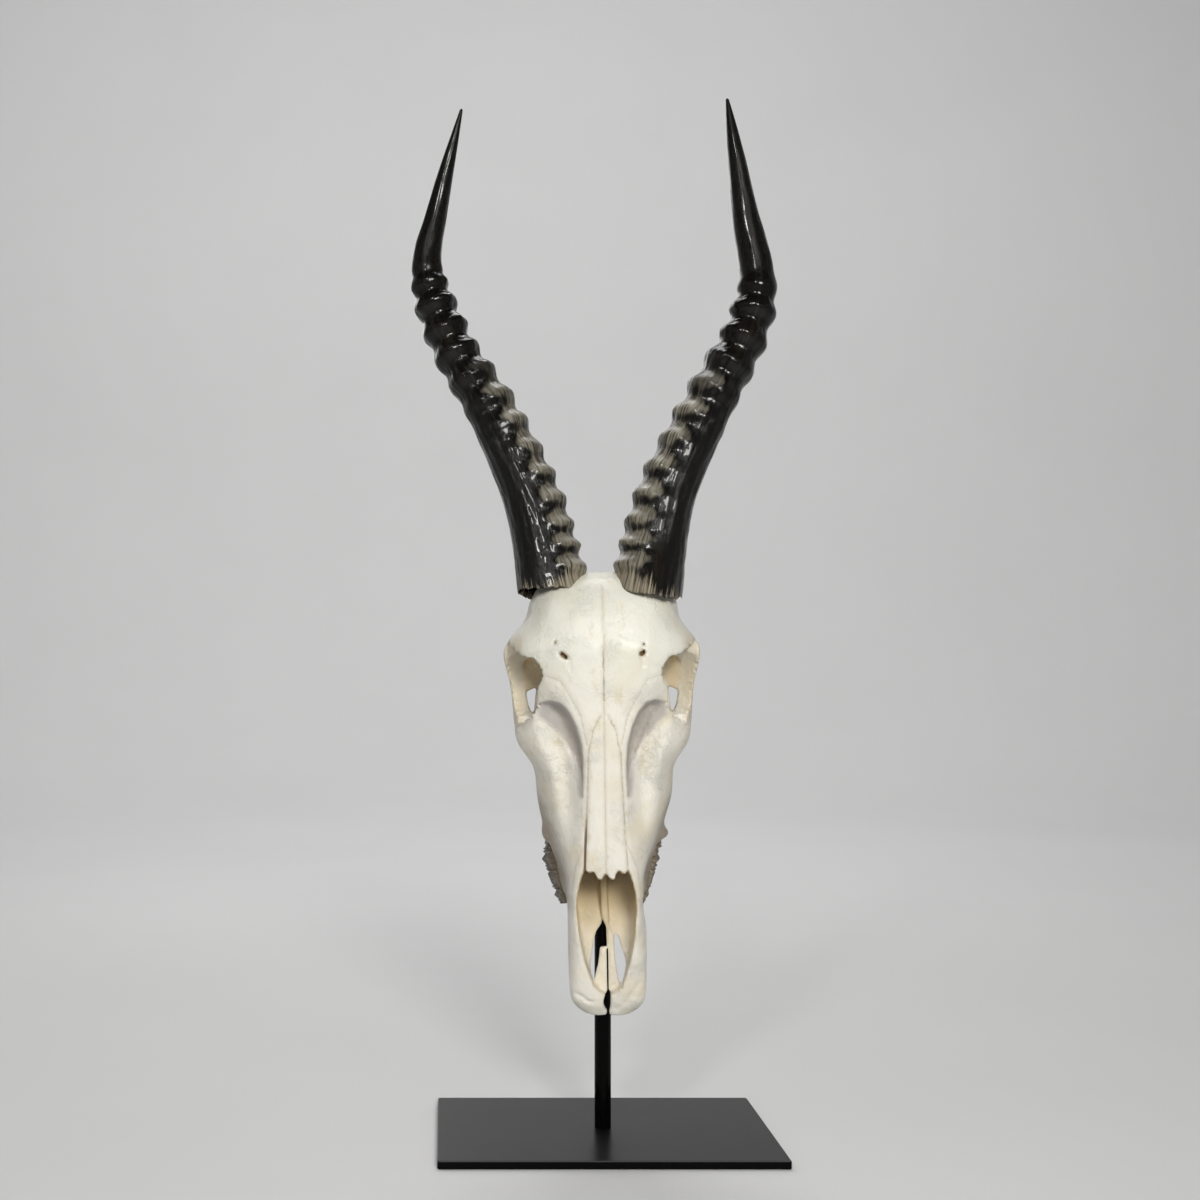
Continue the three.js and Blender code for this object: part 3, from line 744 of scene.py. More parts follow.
front = grid_y[np.argmax(body < 0, axis=1)]
front[~(body < 0).any(axis=1)] = -20
relief = np.zeros((len(half_x), len(grid_z)), np.float32)
in_pit = to_segments(flat_x, flat_z, PIT_UPPER + PIT_FOOT[::-1], True)
from_upper = to_segments(flat_x, flat_z, PIT_UPPER, False)
from_foot = to_segments(flat_x, flat_z, PIT_FOOT, False)
share = from_upper / np.maximum(from_upper + from_foot, 0.01)
pit = np.where(in_pit < 0, ramp(share, 0, 0.2) * (1 - ramp(share, 0.2, 1)), 0)
relief += PIT_DEPTH * pit * ramp(flat_z, 209, 250) * (1 - ramp(flat_x, 23, 37))
nasal_edge = np.interp(grid_z, *zip(*SUTURES["edge of the nasal bones"][1]))[None, :]
across = np.clip(flat_x / np.maximum(nasal_edge, 1), 0, 1)
relief -= NASAL_ARCH * (1 - (2 * across - 1) ** 2) * (flat_z > 150) * ramp(flat_z, 262, 240)
for name in ("edge of the nasal bones", "frontal to lacrimal", "lacrimal to cheek"):
    strength, seam = SUTURES[name]
    relief += strength * 1.5 * (1 - ramp(to_segments(flat_x, flat_z, seam, False), 0, 1.6))
relief += 0.35 * (1 - ramp(flat_x, 0, 1.8)) * (flat_z > 160)
across = np.clip(flat_x / BROW_HALF, 0, 1)
swell = BROW_SWELL * (1 - (2 * across - 1) ** 2) * ramp(flat_z, 258, 280)
relief -= swell * ramp(flat_z, 332, 318)
near_front = np.clip((front[:, None, :] + 14 - HALF[1]) / 6, 0, 1)
body += relief[:, None, :] * near_front
print("relief of the face, deepest", round(float(relief.max()), 1), "mm")

# %% [markdown]
# ## Eye sockets
#
# An eye socket is a bowl that opens to the side, closed behind by a bar of bone, with a well at its
# inner end and a gap through which light comes. A ball cuts the bowl. The outlines of the well and
# the gap are what the camera sees, so they are drawn as seen and cut along the lines of sight, as
# prisms that narrow towards the camera. A little jaggedness keeps the rim from looking turned.

# %% Eye sockets
EYE_RIM = [
    (249, 60), (252, 46), (255, 42), (262, 38.7), (270, 37.7), (273, 36.5), (278, 34), (284, 35),
    (287, 40), (292, 47.6), (297, 53), (300, 60),
]
EYE_WELL = [
    (46.4, 284.5), (44.6, 288), (42, 289.6), (39.5, 288.6), (36.8, 285), (35.3, 281.5),
    (35.2, 277.5), (36.6, 274.6), (38.2, 272), (39.4, 266.5), (40.5, 258), (43, 260),
    (44.6, 269), (46.2, 277),
]
EYE_THROUGH = [(38.4, 272.3), (44.4, 269.5), (43.2, 262), (41.4, 257.5), (40, 258), (39.2, 266)]
BAR_FOOT = [(53, 250), (48.5, 249.2), (44.5, 250.5), (41.5, 254)]
CAMERA_HEIGHT, CAMERA_AWAY, RIM_AWAY = 278.6, 920, 870


def as_seen(x, y, z):
    """Where the camera sees a point of the head, on the plane of the eye rims."""
    sight = RIM_AWAY / (CAMERA_AWAY + y)
    return x * sight, CAMERA_HEIGHT + (z - CAMERA_HEIGHT) * sight


jag = np.sin(HALF[2] * 1.27 + HALF[0] * 0.9) * np.sin(HALF[2] * 0.71 - HALF[0] * 0.5)
jag = jag + 0.7 * np.sin(HALF[2] * 1.7 - HALF[0] * 1.9) * np.sin(HALF[0] * 0.63 + 1)
near_rim = np.clip((front[:, None, :] + 8 - HALF[1]) / 5, 0, 1)
socket = ball(HALF, (47, -57.5, 274), (27, 16.5, 20), -33)
field = cut(body, socket + jag * near_rim * 1.3, 0.8)
rim = np.interp(grid_z, *zip(*EYE_RIM))[None, None, :]
field = cut(field, common(rim - HALF[0] + jag * 1.2, HALF[1] + 50, 2), 0.6)
seen = as_seen(*HALF)
well = to_segments(*seen, EYE_WELL, True)
field = cut(field, common(well, HALF[1] + 40, 3), 0.6)
through = to_segments(*seen, EYE_THROUGH, True)
field = cut(field, common(through, HALF[1], 1), 0.6)
field = cut(field, ball(HALF, (39.5, -3, 284), (7.5, 17, 25)), 2.5)
foot = to_segments(HALF[0], HALF[2], BAR_FOOT, False)
field += 1.3 * (1 - ramp(foot, 0, 1.6)) * np.clip((-38 - HALF[1]) / 6, 0, 1)
print("eye sockets cut")

# %% [markdown]
# ## Cheek and skull base
#
# The knob on the cheek is the foot of a chewing muscle. The knobs of the base carried the neck and
# the ears, and the big opening is where the spine began. They are seen from behind only, so plain
# balls and a tapered bar are enough, joined softly. The rod has a round seat of its own.

# %% Cheek and skull base
ROD_SEAT_RADIUS, ROD_SEAT_TOP = 5.4, 316.4
rod_seat = np.maximum(np.hypot(HALF[0], HALF[1]) - ROD_SEAT_RADIUS, HALF[2] - ROD_SEAT_TOP)
BASE_FORMS = {
    "cheek knob": (join, ball(HALF, (34.2, -15, 185.5), (3.4, 10, 5)), 4),
    "hollow behind the palate": (cut, ball(HALF, (0, -12, 238), (9.5, 14, 12)), 3),
    "neck joint": (join, ball(HALF, (12, 10, 311), (6.5, 9, 10)), 3),
    "ear capsule": (join, ball(HALF, (20, -3, 284), (7, 9, 12)), 2.5),
    "side spur": (join, taper(HALF, (31, -6, 303), (27, 18, 287), 7, 2.2), 2.5),
    "wing of the palate": (join, ball(HALF, (12, -17, 243), (2.4, 9, 15)), 2),
    "spine opening": (cut, ball(HALF, (0, 19, 315), (8, 11, 8)), 1.5),
    "rod seat": (cut, rod_seat, 0.6),
}
for change, solid, soft in BASE_FORMS.values():
    field = change(field, solid, soft)
print("skull base:", ", ".join(BASE_FORMS))

# %% [markdown]
# ## Nose
#
# The nose is a tall hall under the nasal bones, open at the front, with the palate as its floor
# and a thin wall, the septum, down the middle. A plain block would cut through its curved roof. So
# the hall is the body itself, shrunk by the thickness of the roof, down to the palate. From here
# on the two sides differ, and the half grid is mirrored first. The nasal bones end in four uneven
# tips, given across the width.

# %% Nose
OPENING = [
    (89, 0), (92, 5), (96, 8.3), (103.5, 10.9), (110, 12.9), (117, 14.2), (125, 15.6),
    (134, 16.5), (143, 17.2), (151, 16.6), (159, 14.9), (166, 12.6), (172, 10),
]
NASAL_TIPS = [
    (-14, 168), (-11.5, 166.7), (-9.3, 165.2), (-7.4, 166.7), (-5.9, 164.1), (-4.9, 161.9),
    (-2.6, 161.2), (-0.8, 164.8), (0, 165.2), (1.5, 162.6), (3.3, 161.3), (4.8, 161.9),
    (6, 165.6), (6.9, 167.3), (8.6, 165.3), (10.8, 165), (12.3, 167), (14, 168),
]
PALATE = [(89, -15.5), (140, -16), (165, -17.5), (190, -19), (215, -21), (232, -30)]
CAVITY = [(92, 4), (112, 13), (140, 18), (165, 19.5), (190, 20), (215, 17), (232, 6)]
SEPTUM_MIDDLE = [(116, 2.9), (122, 2.4), (130, -0.9), (155, -1.7), (230, -1.2)]
SEPTUM_FRONT = [(114, -15), (126, -17), (140, -21), (165, -30), (230, -46)]
NASAL_ROOF, SEPTUM_HALF = 2.8, 2.1
NOSE_MIDDLE, NOSE_HALF, JAW_TIP, JAW_ROUND = 162, 70, 76.8, 0.024

palate = np.interp(grid_z, *zip(*PALATE))[None, None, :]
inner = np.interp(grid_z, *zip(*CAVITY))[None, None, :]
cavity = common(common(body + NASAL_ROOF, HALF[1] - palate, 4), HALF[0] - inner, 4)
cavity = common(cavity, np.abs(HALF[2] - NOSE_MIDDLE) - NOSE_HALF, 3)
field = cut(field, cavity, 1.2)

full_x = np.concatenate([-half_x[:0:-1], half_x])
FULL = (full_x[:, None, None], HALF[1], HALF[2])
field = np.concatenate([field[:0:-1], field])
wide = np.interp(grid_z, *zip(*OPENING))[None, None, :]
tips = np.interp(full_x, *zip(*NASAL_TIPS))[:, None, None]
opening = common(np.abs(FULL[0]) - wide, FULL[1] - palate, 3)
opening = common(opening, FULL[2] - tips, 0.8)
field = cut(field, opening, 1.3)
jaw_line = JAW_TIP + JAW_ROUND * np.maximum(np.abs(FULL[0]) - 6, 0) ** 2
field = common(field, jaw_line - FULL[2], 1.2)
septum_middle = np.interp(grid_z, *zip(*SEPTUM_MIDDLE))[None, None, :]
septum_front = np.interp(grid_z, *zip(*SEPTUM_FRONT))[None, None, :]
septum = common(np.abs(FULL[0] - septum_middle) - SEPTUM_HALF, septum_front - FULL[1], 1.5)
septum = common(septum, FULL[1] - palate - 1, 1)
septum = common(septum, np.abs(FULL[2] - 173) - 58, 2)
field = join(field, septum, 1.2)
left_hook = ball(FULL, (37.4, -12, 184.5), (2.6, 7, 2.6))
field = join(field, left_hook, 3)
print("nose opened, full grid", field.shape)

# %% [markdown]
# ## Openings in the front of the palate
#
# The front of the upper jaw is open in several places: two long fissures, a slit between two thin
# prongs, and a gap at the tip, where the rod shows through. The two sides are unlike each other, so
# each opening is an outline of its own, cut straight through the thin palate.

# %% Openings in the front of the palate
PALATE_HOLES = {
    "left fissure": [
        (4.1, 125.2), (6.7, 122.8), (8.3, 116.7), (10.2, 111.3), (11, 106.7), (10.2, 101.2),
        (8.3, 94.3), (6.6, 95.6), (5, 105.9), (4.2, 114.4),
    ],
    "right fissure": [
        (-2.5, 133.6), (-0.6, 129), (-0.2, 117), (-0.8, 116.7), (-4.4, 116.3), (-4.8, 111.3),
        (-5.6, 105.9), (-7.1, 100.5), (-7.9, 94.7), (-9.9, 100.5), (-10.2, 107.4), (-8.7, 115.9),
        (-7.4, 122.8), (-6.4, 125.9), (-3.3, 130.6),
    ],
    "slit": [(-0.4, 117), (0.6, 117), (0.7, 91), (-0.3, 91)],
    "gap at the tip": [
        (0.2, 90.8), (-2.2, 88.4), (-2.9, 84.5), (-2.2, 80.9), (-0.8, 79.2), (0.4, 79), (1.2, 80.6),
        (1.6, 84.5), (1.6, 90.1),
    ],
    "notch under the gap": [(-0.3, 79.5), (0.4, 79.5), (1.2, 76), (-1.2, 76)],
}
for name, points in PALATE_HOLES.items():
    hole = to_segments(full_x[:, None], flat_z, points, True)[:, None, :]
    field = cut(field, common(hole, np.abs(FULL[1] + 15) - 14, 1), 0.7)
print("palate openings:", ", ".join(PALATE_HOLES))

# %% [markdown]
# ## Nerve openings and grooves
#
# Nerves and vessels leave the brow through small holes, with a shallow groove below each, and one
# vessel has left a curved groove between the horns. The lip of the upper jaw has two creases. Like
# the relief, they are depths pressed in from the front, this time on both sides separately.

# %% Nerve openings and grooves
BROW_HOLES = [
    ((-23, 290.6), (-20.4, 288.6), 1.0, 6.5), ((-26.6, 297), (-26.3, 296.6), 0.7, 4),
    ((21.2, 290), (22.6, 290.8), 1.1, 6.5), ((22.8, 295.2), (22.9, 294.8), 0.8, 5),
    ((21.8, 289), (22, 283.5), 1.1, 1.2), ((-19, 288), (-18, 281), 1.0, 0.8),
]
GROOVES = {
    "vessel": (0.3, 1.6, [(1.4, 307.3), (7.2, 307.9), (12.3, 310.8), (16.3, 315.4)]),
    "left crease": (0.7, 2, [(4.5, 81.5), (10, 86), (14, 91), (18.5, 98)]),
    "right crease": (1.0, 1.8, [(-17.6, 90.4), (-14.3, 88.6), (-11.4, 85.9), (-9, 86.3)]),
}
front = np.concatenate([front[:0:-1], front])
near_front = np.clip((front[:, None, :] + 12 - FULL[1]) / 6, 0, 1)
dents = np.zeros((len(full_x), len(grid_z)), np.float32)
for start, end, width, depth in BROW_HOLES:
    apart = to_segments(full_x[:, None], flat_z, [start, end], False)
    dents += depth * (1 - ramp(apart, width * 0.4, width * 1.6))
for depth, reach, points in GROOVES.values():
    apart = to_segments(full_x[:, None], flat_z, points, False)
    dents += depth * (1 - ramp(apart, 0.2, reach))
field += dents[:, None, :] * near_front
print("brow openings:", len(BROW_HOLES), "and grooves:", ", ".join(GROOVES))

# %% [markdown]
# ## From the field to a mesh
#
# Every grid cell that the zero level passes through gets one vertex, and every grid edge that
# it crosses gets one face between the four cells around it. This is called a surface net. A
# voxel remesh would do something like it, but it rounds thin edges away. The vertices are then
# slid onto the zero level, so that the steps of the grid don't show.


# %% Surface net
def net(values):
    """Vertices and four-cornered faces of the zero level of a field."""
    low = values < 0
    cells = tuple(n - 1 for n in values.shape)
    count = sum(
        low[i:cells[0] + i, j:cells[1] + j, k:cells[2] + k].astype(np.int8)
        for i in (0, 1) for j in (0, 1) for k in (0, 1)
    )
    spots = np.argwhere((count > 0) & (count < 8))
    number = np.full(cells, -1, np.int32)
    number[tuple(spots.T)] = np.arange(len(spots))
    total = np.zeros((len(spots), 3))
    crossings = np.zeros(len(spots))
    for axis in range(3):
        for i in (0, 1):
            for j in (0, 1):
                first = np.insert([i, j], axis, 0)
                second = np.insert([i, j], axis, 1)
                a = values[tuple((spots + first).T)]
                b = values[tuple((spots + second).T)]
                crossed = (a < 0) != (b < 0)
                t = np.where(crossed, a / np.where(crossed, a - b, 1), 0)
                total += crossed[:, None] * (first + t[:, None] * (second - first))
                crossings += crossed
    points = spots + total / crossings[:, None]
    faces = []
    for axis in range(3):
        u, v = (axis + 1) % 3, (axis + 2) % 3
        ahead = np.diff(low.astype(np.int8), axis=axis)
        at = np.argwhere(ahead != 0)
        at = at[(at[:, u] > 0) & (at[:, v] > 0) & (at[:, u] < cells[u]) & (at[:, v] < cells[v])]
        corners = []
        for du, dv in ((-1, -1), (0, -1), (0, 0), (-1, 0)):
            cell = at.copy()
            cell[:, u] += du
            cell[:, v] += dv
            corners.append(number[tuple(cell.T)])
        quad = np.stack(corners, axis=1)
        outward = ahead[tuple(at.T)] < 0
        faces.append(np.where(outward[:, None], quad, quad[:, ::-1]))
    return points, np.concatenate(faces)


print("surface net ready")


# %% Reading and blurring a field
def sample(values, points):
    """The field between its grid points, at points counted in grid steps."""
    limit = np.array(values.shape) - 1.001
    points = np.clip(points, 0, limit)
    base = points.astype(int)
    t = points - base
    result = 0
    for i in (0, 1):
        for j in (0, 1):
            for k in (0, 1):
                weight = 1
                for axis, side in enumerate((i, j, k)):
                    weight = weight * (t[:, axis] if side else 1 - t[:, axis])
                result = result + weight * values[tuple((base + (i, j, k)).T)]
    return result


def blurred(values, reach):
    """Mean of the field over a cube of 2 * reach + 1 grid steps."""
    for axis in range(3):
        pad = [(0, 0)] * 3
        pad[axis] = (reach + 1, reach)
        total = np.cumsum(np.pad(values, pad, mode="edge"), axis=axis)
        ahead = [slice(None)] * 3
        behind = [slice(None)] * 3
        ahead[axis], behind[axis] = slice(2 * reach + 1, None), slice(None, -2 * reach - 1)
        values = (total[tuple(ahead)] - total[tuple(behind)]) / (2 * reach + 1)
    return values


print("reading and blurring ready")

# %% [markdown]
# ## Closing and meshing
#
# Where two bits of bone touch along one grid edge only, the net would have an edge with four faces.
# Such places get one more grid point of bone, until there are none left. Then the net is made and
# its vertices are moved down the slope of the field, in two short steps.

# %% Close and mesh
MENDED, MENDING_ROUNDS, PROBE, LONGEST_MOVE = -0.02, 12, 0.35, 0.4
for _ in range(MENDING_ROUNDS):
    fixed = 0
    for u, v in ((0, 1), (0, 2), (1, 2)):
        parts = []
        for i, j in ((0, 0), (1, 1), (1, 0), (0, 1)):
            piece = [slice(None)] * 3
            piece[u] = slice(i, field.shape[u] - 1 + i)
            piece[v] = slice(j, field.shape[v] - 1 + j)
            parts.append(field[tuple(piece)])
        a, b, c, d = (part < 0 for part in parts)
        for part, touching in ((parts[2], a & b & ~c & ~d), (parts[0], c & d & ~a & ~b)):
            part[touching] = MENDED
            fixed += int(touching.sum())
    if not fixed:
        break
points, faces = net(field)
for _ in range(2):
    value = sample(field, points)
    pairs = [(sample(field, points + s), sample(field, points - s)) for s in np.eye(3) * PROBE]
    slope = np.stack([ahead - behind for ahead, behind in pairs], axis=1) / (2 * PROBE)
    move = value[:, None] * slope / np.maximum((slope ** 2).sum(axis=1), 0.05)[:, None]
    points -= np.clip(move, -LONGEST_MOVE, LONGEST_MOVE)
bone_points = points * GRID + (full_x[0], grid_y[0], grid_z[0])
print("skull mesh:", len(points), "points,", len(faces), "faces")

# %% [markdown]
# ## Values for the bone finish
#
# The finish has to know where the hollows, the nose, the eye wells, the holes and the tear pits
# are, for its stains and its painted shade. Blender could darken corners with an ambient occlusion
# node, but that depends on what stands near. Here the share of bone in a cube around each vertex
# tells how deep it lies, and the outlines used for the cuts tell the rest. The mesh keeps these
# numbers as attributes.

# %% Values for the bone finish
solid = (field < 0).astype(np.float32)
hollow_near = sample(blurred(solid, 3), points) - 0.5
hollow_wide = sample(blurred(solid, 9), points) - 0.4
# hollow: how deep a point lies, for the painted shade of the finish.
hollow = np.clip(hollow_near * 1.2 + np.maximum(hollow_wide, 0) * 1.6, 0, 1)
nose = np.minimum(opening, np.concatenate([cavity[:0:-1], cavity]))
in_nose = 1 - ramp(sample(nose, points), 0.3, 1.5)
depth = ramp(bone_points[:, 2], 118, 172) * 0.75 + 0.12
hollow = np.maximum(hollow, in_nose * depth)
at_dent = sample(np.broadcast_to(dents[:, None, :], field.shape), points)
# core: painted shade for the nerve holes and the top of the nose.
core = ramp(at_dent, 1.6, 4.5) * (bone_points[:, 2] > 270)
core = np.maximum(core, in_nose * ramp(bone_points[:, 2], 140, 176) * 0.8)
stained = in_nose * (0.25 + 0.75 * ramp(bone_points[:, 2], 100, 145))
side_x, up_z = np.abs(bone_points[:, 0]), bone_points[:, 2]
in_well = -to_segments(*as_seen(side_x, bone_points[:, 1], up_z), EYE_WELL, True)
# In the eye wells the tan is painted shade.
stained = np.maximum(stained, ramp(in_well, -0.2, 0.8) * 0.9)
within = to_segments(side_x, up_z, PIT_UPPER + PIT_LOWER[::-1], True) < 0
to_upper = to_segments(side_x, up_z, PIT_UPPER, False)
to_lower = to_segments(side_x, up_z, PIT_LOWER, False)
past_lower = (1 - ramp(to_lower, 0, 3.5)) * (to_lower < to_upper)
# The tear pits, for their painted shade.
in_tear_pit = np.where(within, ramp(to_upper, 0, 0.8), past_lower)
in_tear_pit *= (1 - ramp(side_x, 34, 40)) * (bone_points[:, 1] < -45)
bone_values = {"hollow": hollow, "pit": in_tear_pit, "core": core, "stained": stained}
print("values for the finish:", ", ".join(bone_values))

# %% [markdown]
# ## Placing pieces
#
# No animal is quite even: the left cheek of this one sits a little closer to the midline. On its
# rod the head is turned and leans a little. Objects could be turned, but a pattern that follows the
# object would then turn too. So the turn goes into the mesh data and every piece stays at the
# origin. Each piece rides the one body, takes a material slot and stands in for its CAD node.


# %% Head placement
def settled(points):
    """The animal's own lopsidedness: the left cheek sits a little closer to the midline."""
    x, y, z = np.asarray(points, float).T
    shift = 3 * ramp(y, -48, -20) * ramp(z, 128, 150) * (1 - ramp(z, 190, 222)) * ramp(x, 8, 20)
    shift += 2.2 * ramp(x, 12, 45) * ramp(z, 200, 235) * (1 - ramp(z, 302, 320))
    return np.stack([x - shift, y, z], axis=1)


HEAD_PIVOT, TURN, LEAN = (0, 0, 305), -5.9, -0.8
head = (
    Matrix.Scale(0.001, 4)
    @ Matrix.Translation(HEAD_PIVOT)
    @ Matrix.Rotation(math.radians(TURN), 4, "Z")
    @ Matrix.Rotation(math.radians(LEAN), 4, "Y")
    @ Matrix.Translation(-Vector(HEAD_PIVOT))
)


def add_piece(name, mesh, node):
    piece = bpy.data.objects.new(name.replace(" ", "_"), mesh)
    bpy.context.scene.collection.objects.link(piece)
    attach(piece, "root")
    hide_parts(node)
    return piece


print("head turned by", TURN, "and leaning by", LEAN, "degrees")

# %% The skull piece
bone_points = settled(bone_points)
mesh = bpy.data.meshes.new("skull bone")
mesh.from_pydata(bone_points.tolist(), [], faces.tolist())
mesh.attributes.new("place", "FLOAT_VECTOR", "POINT").data.foreach_set(
    "vector", bone_points.astype(np.float32).ravel()
)
for name, values in bone_values.items():
    layer = mesh.attributes.new(name, "FLOAT", "POINT")
    layer.data.foreach_set("value", values.astype(np.float32))
mesh.transform(head)
mesh.shade_smooth()
mesh.materials.append(bone)
add_piece("skull bone", mesh, "skull")
print("skull placed")

# %% [markdown]
# ## Horns with Geometry Nodes
#
# A horn is a sheath of keratin that grows ring by ring over a core of bone. A screw or an array of
# rings could make it, but real rings merge, lean and fade out towards the tip. Rings repeat along a
# path, so this is a task for Geometry Nodes, and one tree makes both horns. It bends a grid round
# the middle line of the horn: one way of the grid is the length, the other the way around. First
# come small helpers that both trees of this script use.


# %% Helpers for geometry trees
def new_tree(name, sockets):
    """An empty geometry tree with its inputs; returns it, the input wires and their ids."""
    tree = bpy.data.node_groups.new(name, "GeometryNodeTree")
    tree.interface.new_socket("Geometry", in_out="OUTPUT", socket_type="NodeSocketGeometry")
    ids = {}
    for label, kind in sockets:
        made = tree.interface.new_socket(label, in_out="INPUT", socket_type="NodeSocket" + kind)
        ids[label] = made.identifier
    entry = tree.nodes.new("NodeGroupInput")
    return tree, {label: Wire(entry.outputs[label]) for label, _ in sockets}, ids


def vmath(operation, first, second, out="Vector"):
    inputs = {0: first, 1: second}
    settings = {"operation": operation}
    return Wire.node(first.tree, "ShaderNodeVectorMath", settings, inputs, out)


def scaled(wire, amount):
    settings = {"operation": "SCALE"}
    return Wire.node(wire.tree, "ShaderNodeVectorMath", settings, {0: wire, "Scale": amount})


def keep(geometry, name, value, kind="FLOAT"):
    settings = {"data_type": kind, "domain": "POINT"}
    inputs = {"Geometry": geometry, "Name": name, "Value": value}
    return Wire.node(geometry.tree, "GeometryNodeStoreNamedAttribute", settings, inputs)


def line(share, points):
    return Wire.node(share.tree, "ShaderNodeFloatCurve", {"points": points}, {"Value": share})


def unit_grid(tree, rows, sides):
    """A flat grid and its two ways, each from 0 to 1."""
    inputs = {"Size X": 1.0, "Size Y": 1.0, "Vertices X": rows, "Vertices Y": sides}
    grid = Wire.node(tree, "GeometryNodeMeshGrid", None, inputs)
    gx, gy, _ = split(Wire.node(tree, "GeometryNodeInputPosition"))
    return grid, gx + 0.5, gy + 0.5


def close_tree(tree, geometry, material):
    """Merges seam and poles, smooths, and sets the material before the output."""
    inputs = {"Geometry": geometry, "Distance": 2e-5}
    geometry = Wire.node(tree, "GeometryNodeMergeByDistance", None, inputs)
    geometry = Wire.node(tree, "GeometryNodeSetShadeSmooth", None, {"Geometry": geometry})
    geometry = Wire.node(tree, "GeometryNodeRealizeInstances", None, {"Geometry": geometry})
    inputs = {"Geometry": geometry, "Material": material}
    geometry = Wire.node(tree, "GeometryNodeSetMaterial", None, inputs)
    tree.links.new(geometry.socket, tree.nodes.new("NodeGroupOutput").inputs[0])


print("helpers for geometry trees ready")

# %% [markdown]
# ## Horn tree: the path and the way around
#
# The inputs are what differs between the horns. The first rows of the grid go up inside the horn,
# so that the sheath has a lip and is closed. At each row the tree reads a point and a direction
# from the middle line, and makes two directions across it: to the front and to the inner side.

# %% Horn tree: path
HALF_WIDTHS = [
    (0, 20), (0.17, 16.4), (0.33, 14.2), (0.49, 11.6), (0.66, 9.4), (0.71, 8.5), (0.79, 6.6),
    (0.89, 4.2), (1, 0.8),
]
RING_COUNT, FIRST_RING, RING_GAP, RING_GAP_MORE = 14, 14, 10.6, 7.5
PHASES = RING_COUNT + 2
HORN_LENGTH = 305
LIP = 0.04

tree, given, horn_ids = new_tree(
    "horn sheath",
    [
        ("Geometry", "Geometry"), ("Rows", "Int"), ("Sides", "Int"), ("Ring Height", "Float"),
        ("Flute Depth", "Float"), ("Rag", "Float"), ("Side", "Float"), ("Front", "Vector"),
        ("Base Tilt", "Float"), ("Front Drop", "Float"), ("Pale", "Float"), ("Stretch", "Float"),
        ("Ring End", "Float"), ("Front Rings", "Float"), ("Seed", "Float"), ("Finish", "Material"),
    ],
)
path = Wire.node(tree, "GeometryNodeMeshToCurve", None, {"Mesh": given["Geometry"]})
length = Wire.node(tree, "GeometryNodeCurveLength", None, {"Curve": path})
grid, u, v = unit_grid(tree, given["Rows"], given["Sides"])
inside = (LIP - u).maths("MAXIMUM", 0.0) / LIP
share = (u - LIP).maths("MAXIMUM", 0.0) / (1 - LIP) + inside * 0.1
angle = v * math.tau
cos, sin = angle.maths("COSINE"), angle.maths("SINE")
inputs = {"Curves": path, "Length": share * length}
curve_point = Wire.node(tree, "GeometryNodeSampleCurve", {"mode": "LENGTH"}, inputs, "Position")
tangent = Wire(curve_point.socket.node.outputs["Tangent"])
lean = scaled(tangent, vmath("DOT_PRODUCT", tangent, given["Front"], "Value"))
to_front = vmath("NORMALIZE", vmath("SUBTRACT", given["Front"], lean), (0, 0, 0))
to_inner = scaled(vmath("CROSS_PRODUCT", to_front, tangent), given["Side"])
print("horn path:", len(tree.nodes), "nodes")

# %% [markdown]
# ## Horn tree: rings, flutes and the ragged base
#
# The radius is a sum: the width along the length, a wave for the rings, and noise for the flutes.
# The rings are strong on the inner front of the lower half and go all the way round further up.
# Their crests are not evenly spaced, so a plain wave won't do. A curve turns the length into the
# number of the ring, and the wave is taken from that number.

# %% Horn tree: rings
slender = share * given["Stretch"] + (1 - given["Stretch"]) * share ** 8
width = line(slender, [(t, w / 20) for t, w in HALF_WIDTHS]) * 0.020
last = RING_COUNT - 1
gaps = [RING_GAP + RING_GAP_MORE * math.sin(math.pi * i / last) for i in range(last)]
crests = [FIRST_RING + sum(gaps[:n]) for n in range(RING_COUNT)]
phase_points = [(s / HORN_LENGTH, (n + 1) / PHASES) for n, s in enumerate(crests)]
phase_points = [(0, 0)] + phase_points + [(1, 1)]
swirl = vector(tree, cos, sin, share * 14.0 + given["Seed"])
stretched = share * given["Stretch"]
phase = line(stretched, phase_points) * PHASES + (noise(swirl, 1.1, 2.0) - 0.5) * 0.35
wave = (phase * math.tau).maths("COSINE") * 0.5 + 0.5
bead = share.step(0.3, 0.5)
ring = wave ** (1.3 - bead * 0.3)
narrow = 7.5 - share.step(0.08, 0.45) * 6.1
inward = ((angle - math.radians(26)).maths("COSINE") * 0.5 + 0.5) ** narrow
facing = (angle - math.radians(20)).maths("COSINE").step(0.4, 0.85)
keeps = share.step(0.15, 0.42).maths("MAXIMUM", given["Front Rings"])
inward = inward * (facing + (1 - facing) * keeps)
all_round = 0.02 + share.step(0.28, 0.55) * 0.78
reach = (all_round + (1 - all_round) * inward) * share.step(0.0, 0.035)
reach = reach * share.step(given["Ring End"] + 0.03, given["Ring End"] - 0.06)
reach = reach * (0.7 + noise(swirl, 1.7, 2.0) * 0.6)
flutes = vector(tree, cos * 4.0, sin * 4.0, share * 7.0 + given["Seed"])
flute = (noise(flutes, 1.5, 4.0, 0.6) - 0.5) * share.step(0.62, 0.4)
bends = vector(tree, cos, sin, share * 11.0 + given["Seed"])
sway = (noise(bends, 0.8, 1.0) - 0.5) * share.step(0.6, 0.75)
tip = ((1 - share) / 0.004).maths("MINIMUM", 1.0).maths("SQRT")
radius = width + ring * reach * given["Ring Height"] + flute * given["Flute Depth"]
radius = (radius + sway * width * 0.2) * tip
radius = (radius - inside.step(0.0, 0.12) * 0.0022) * inside.step(1.0, 0.8)
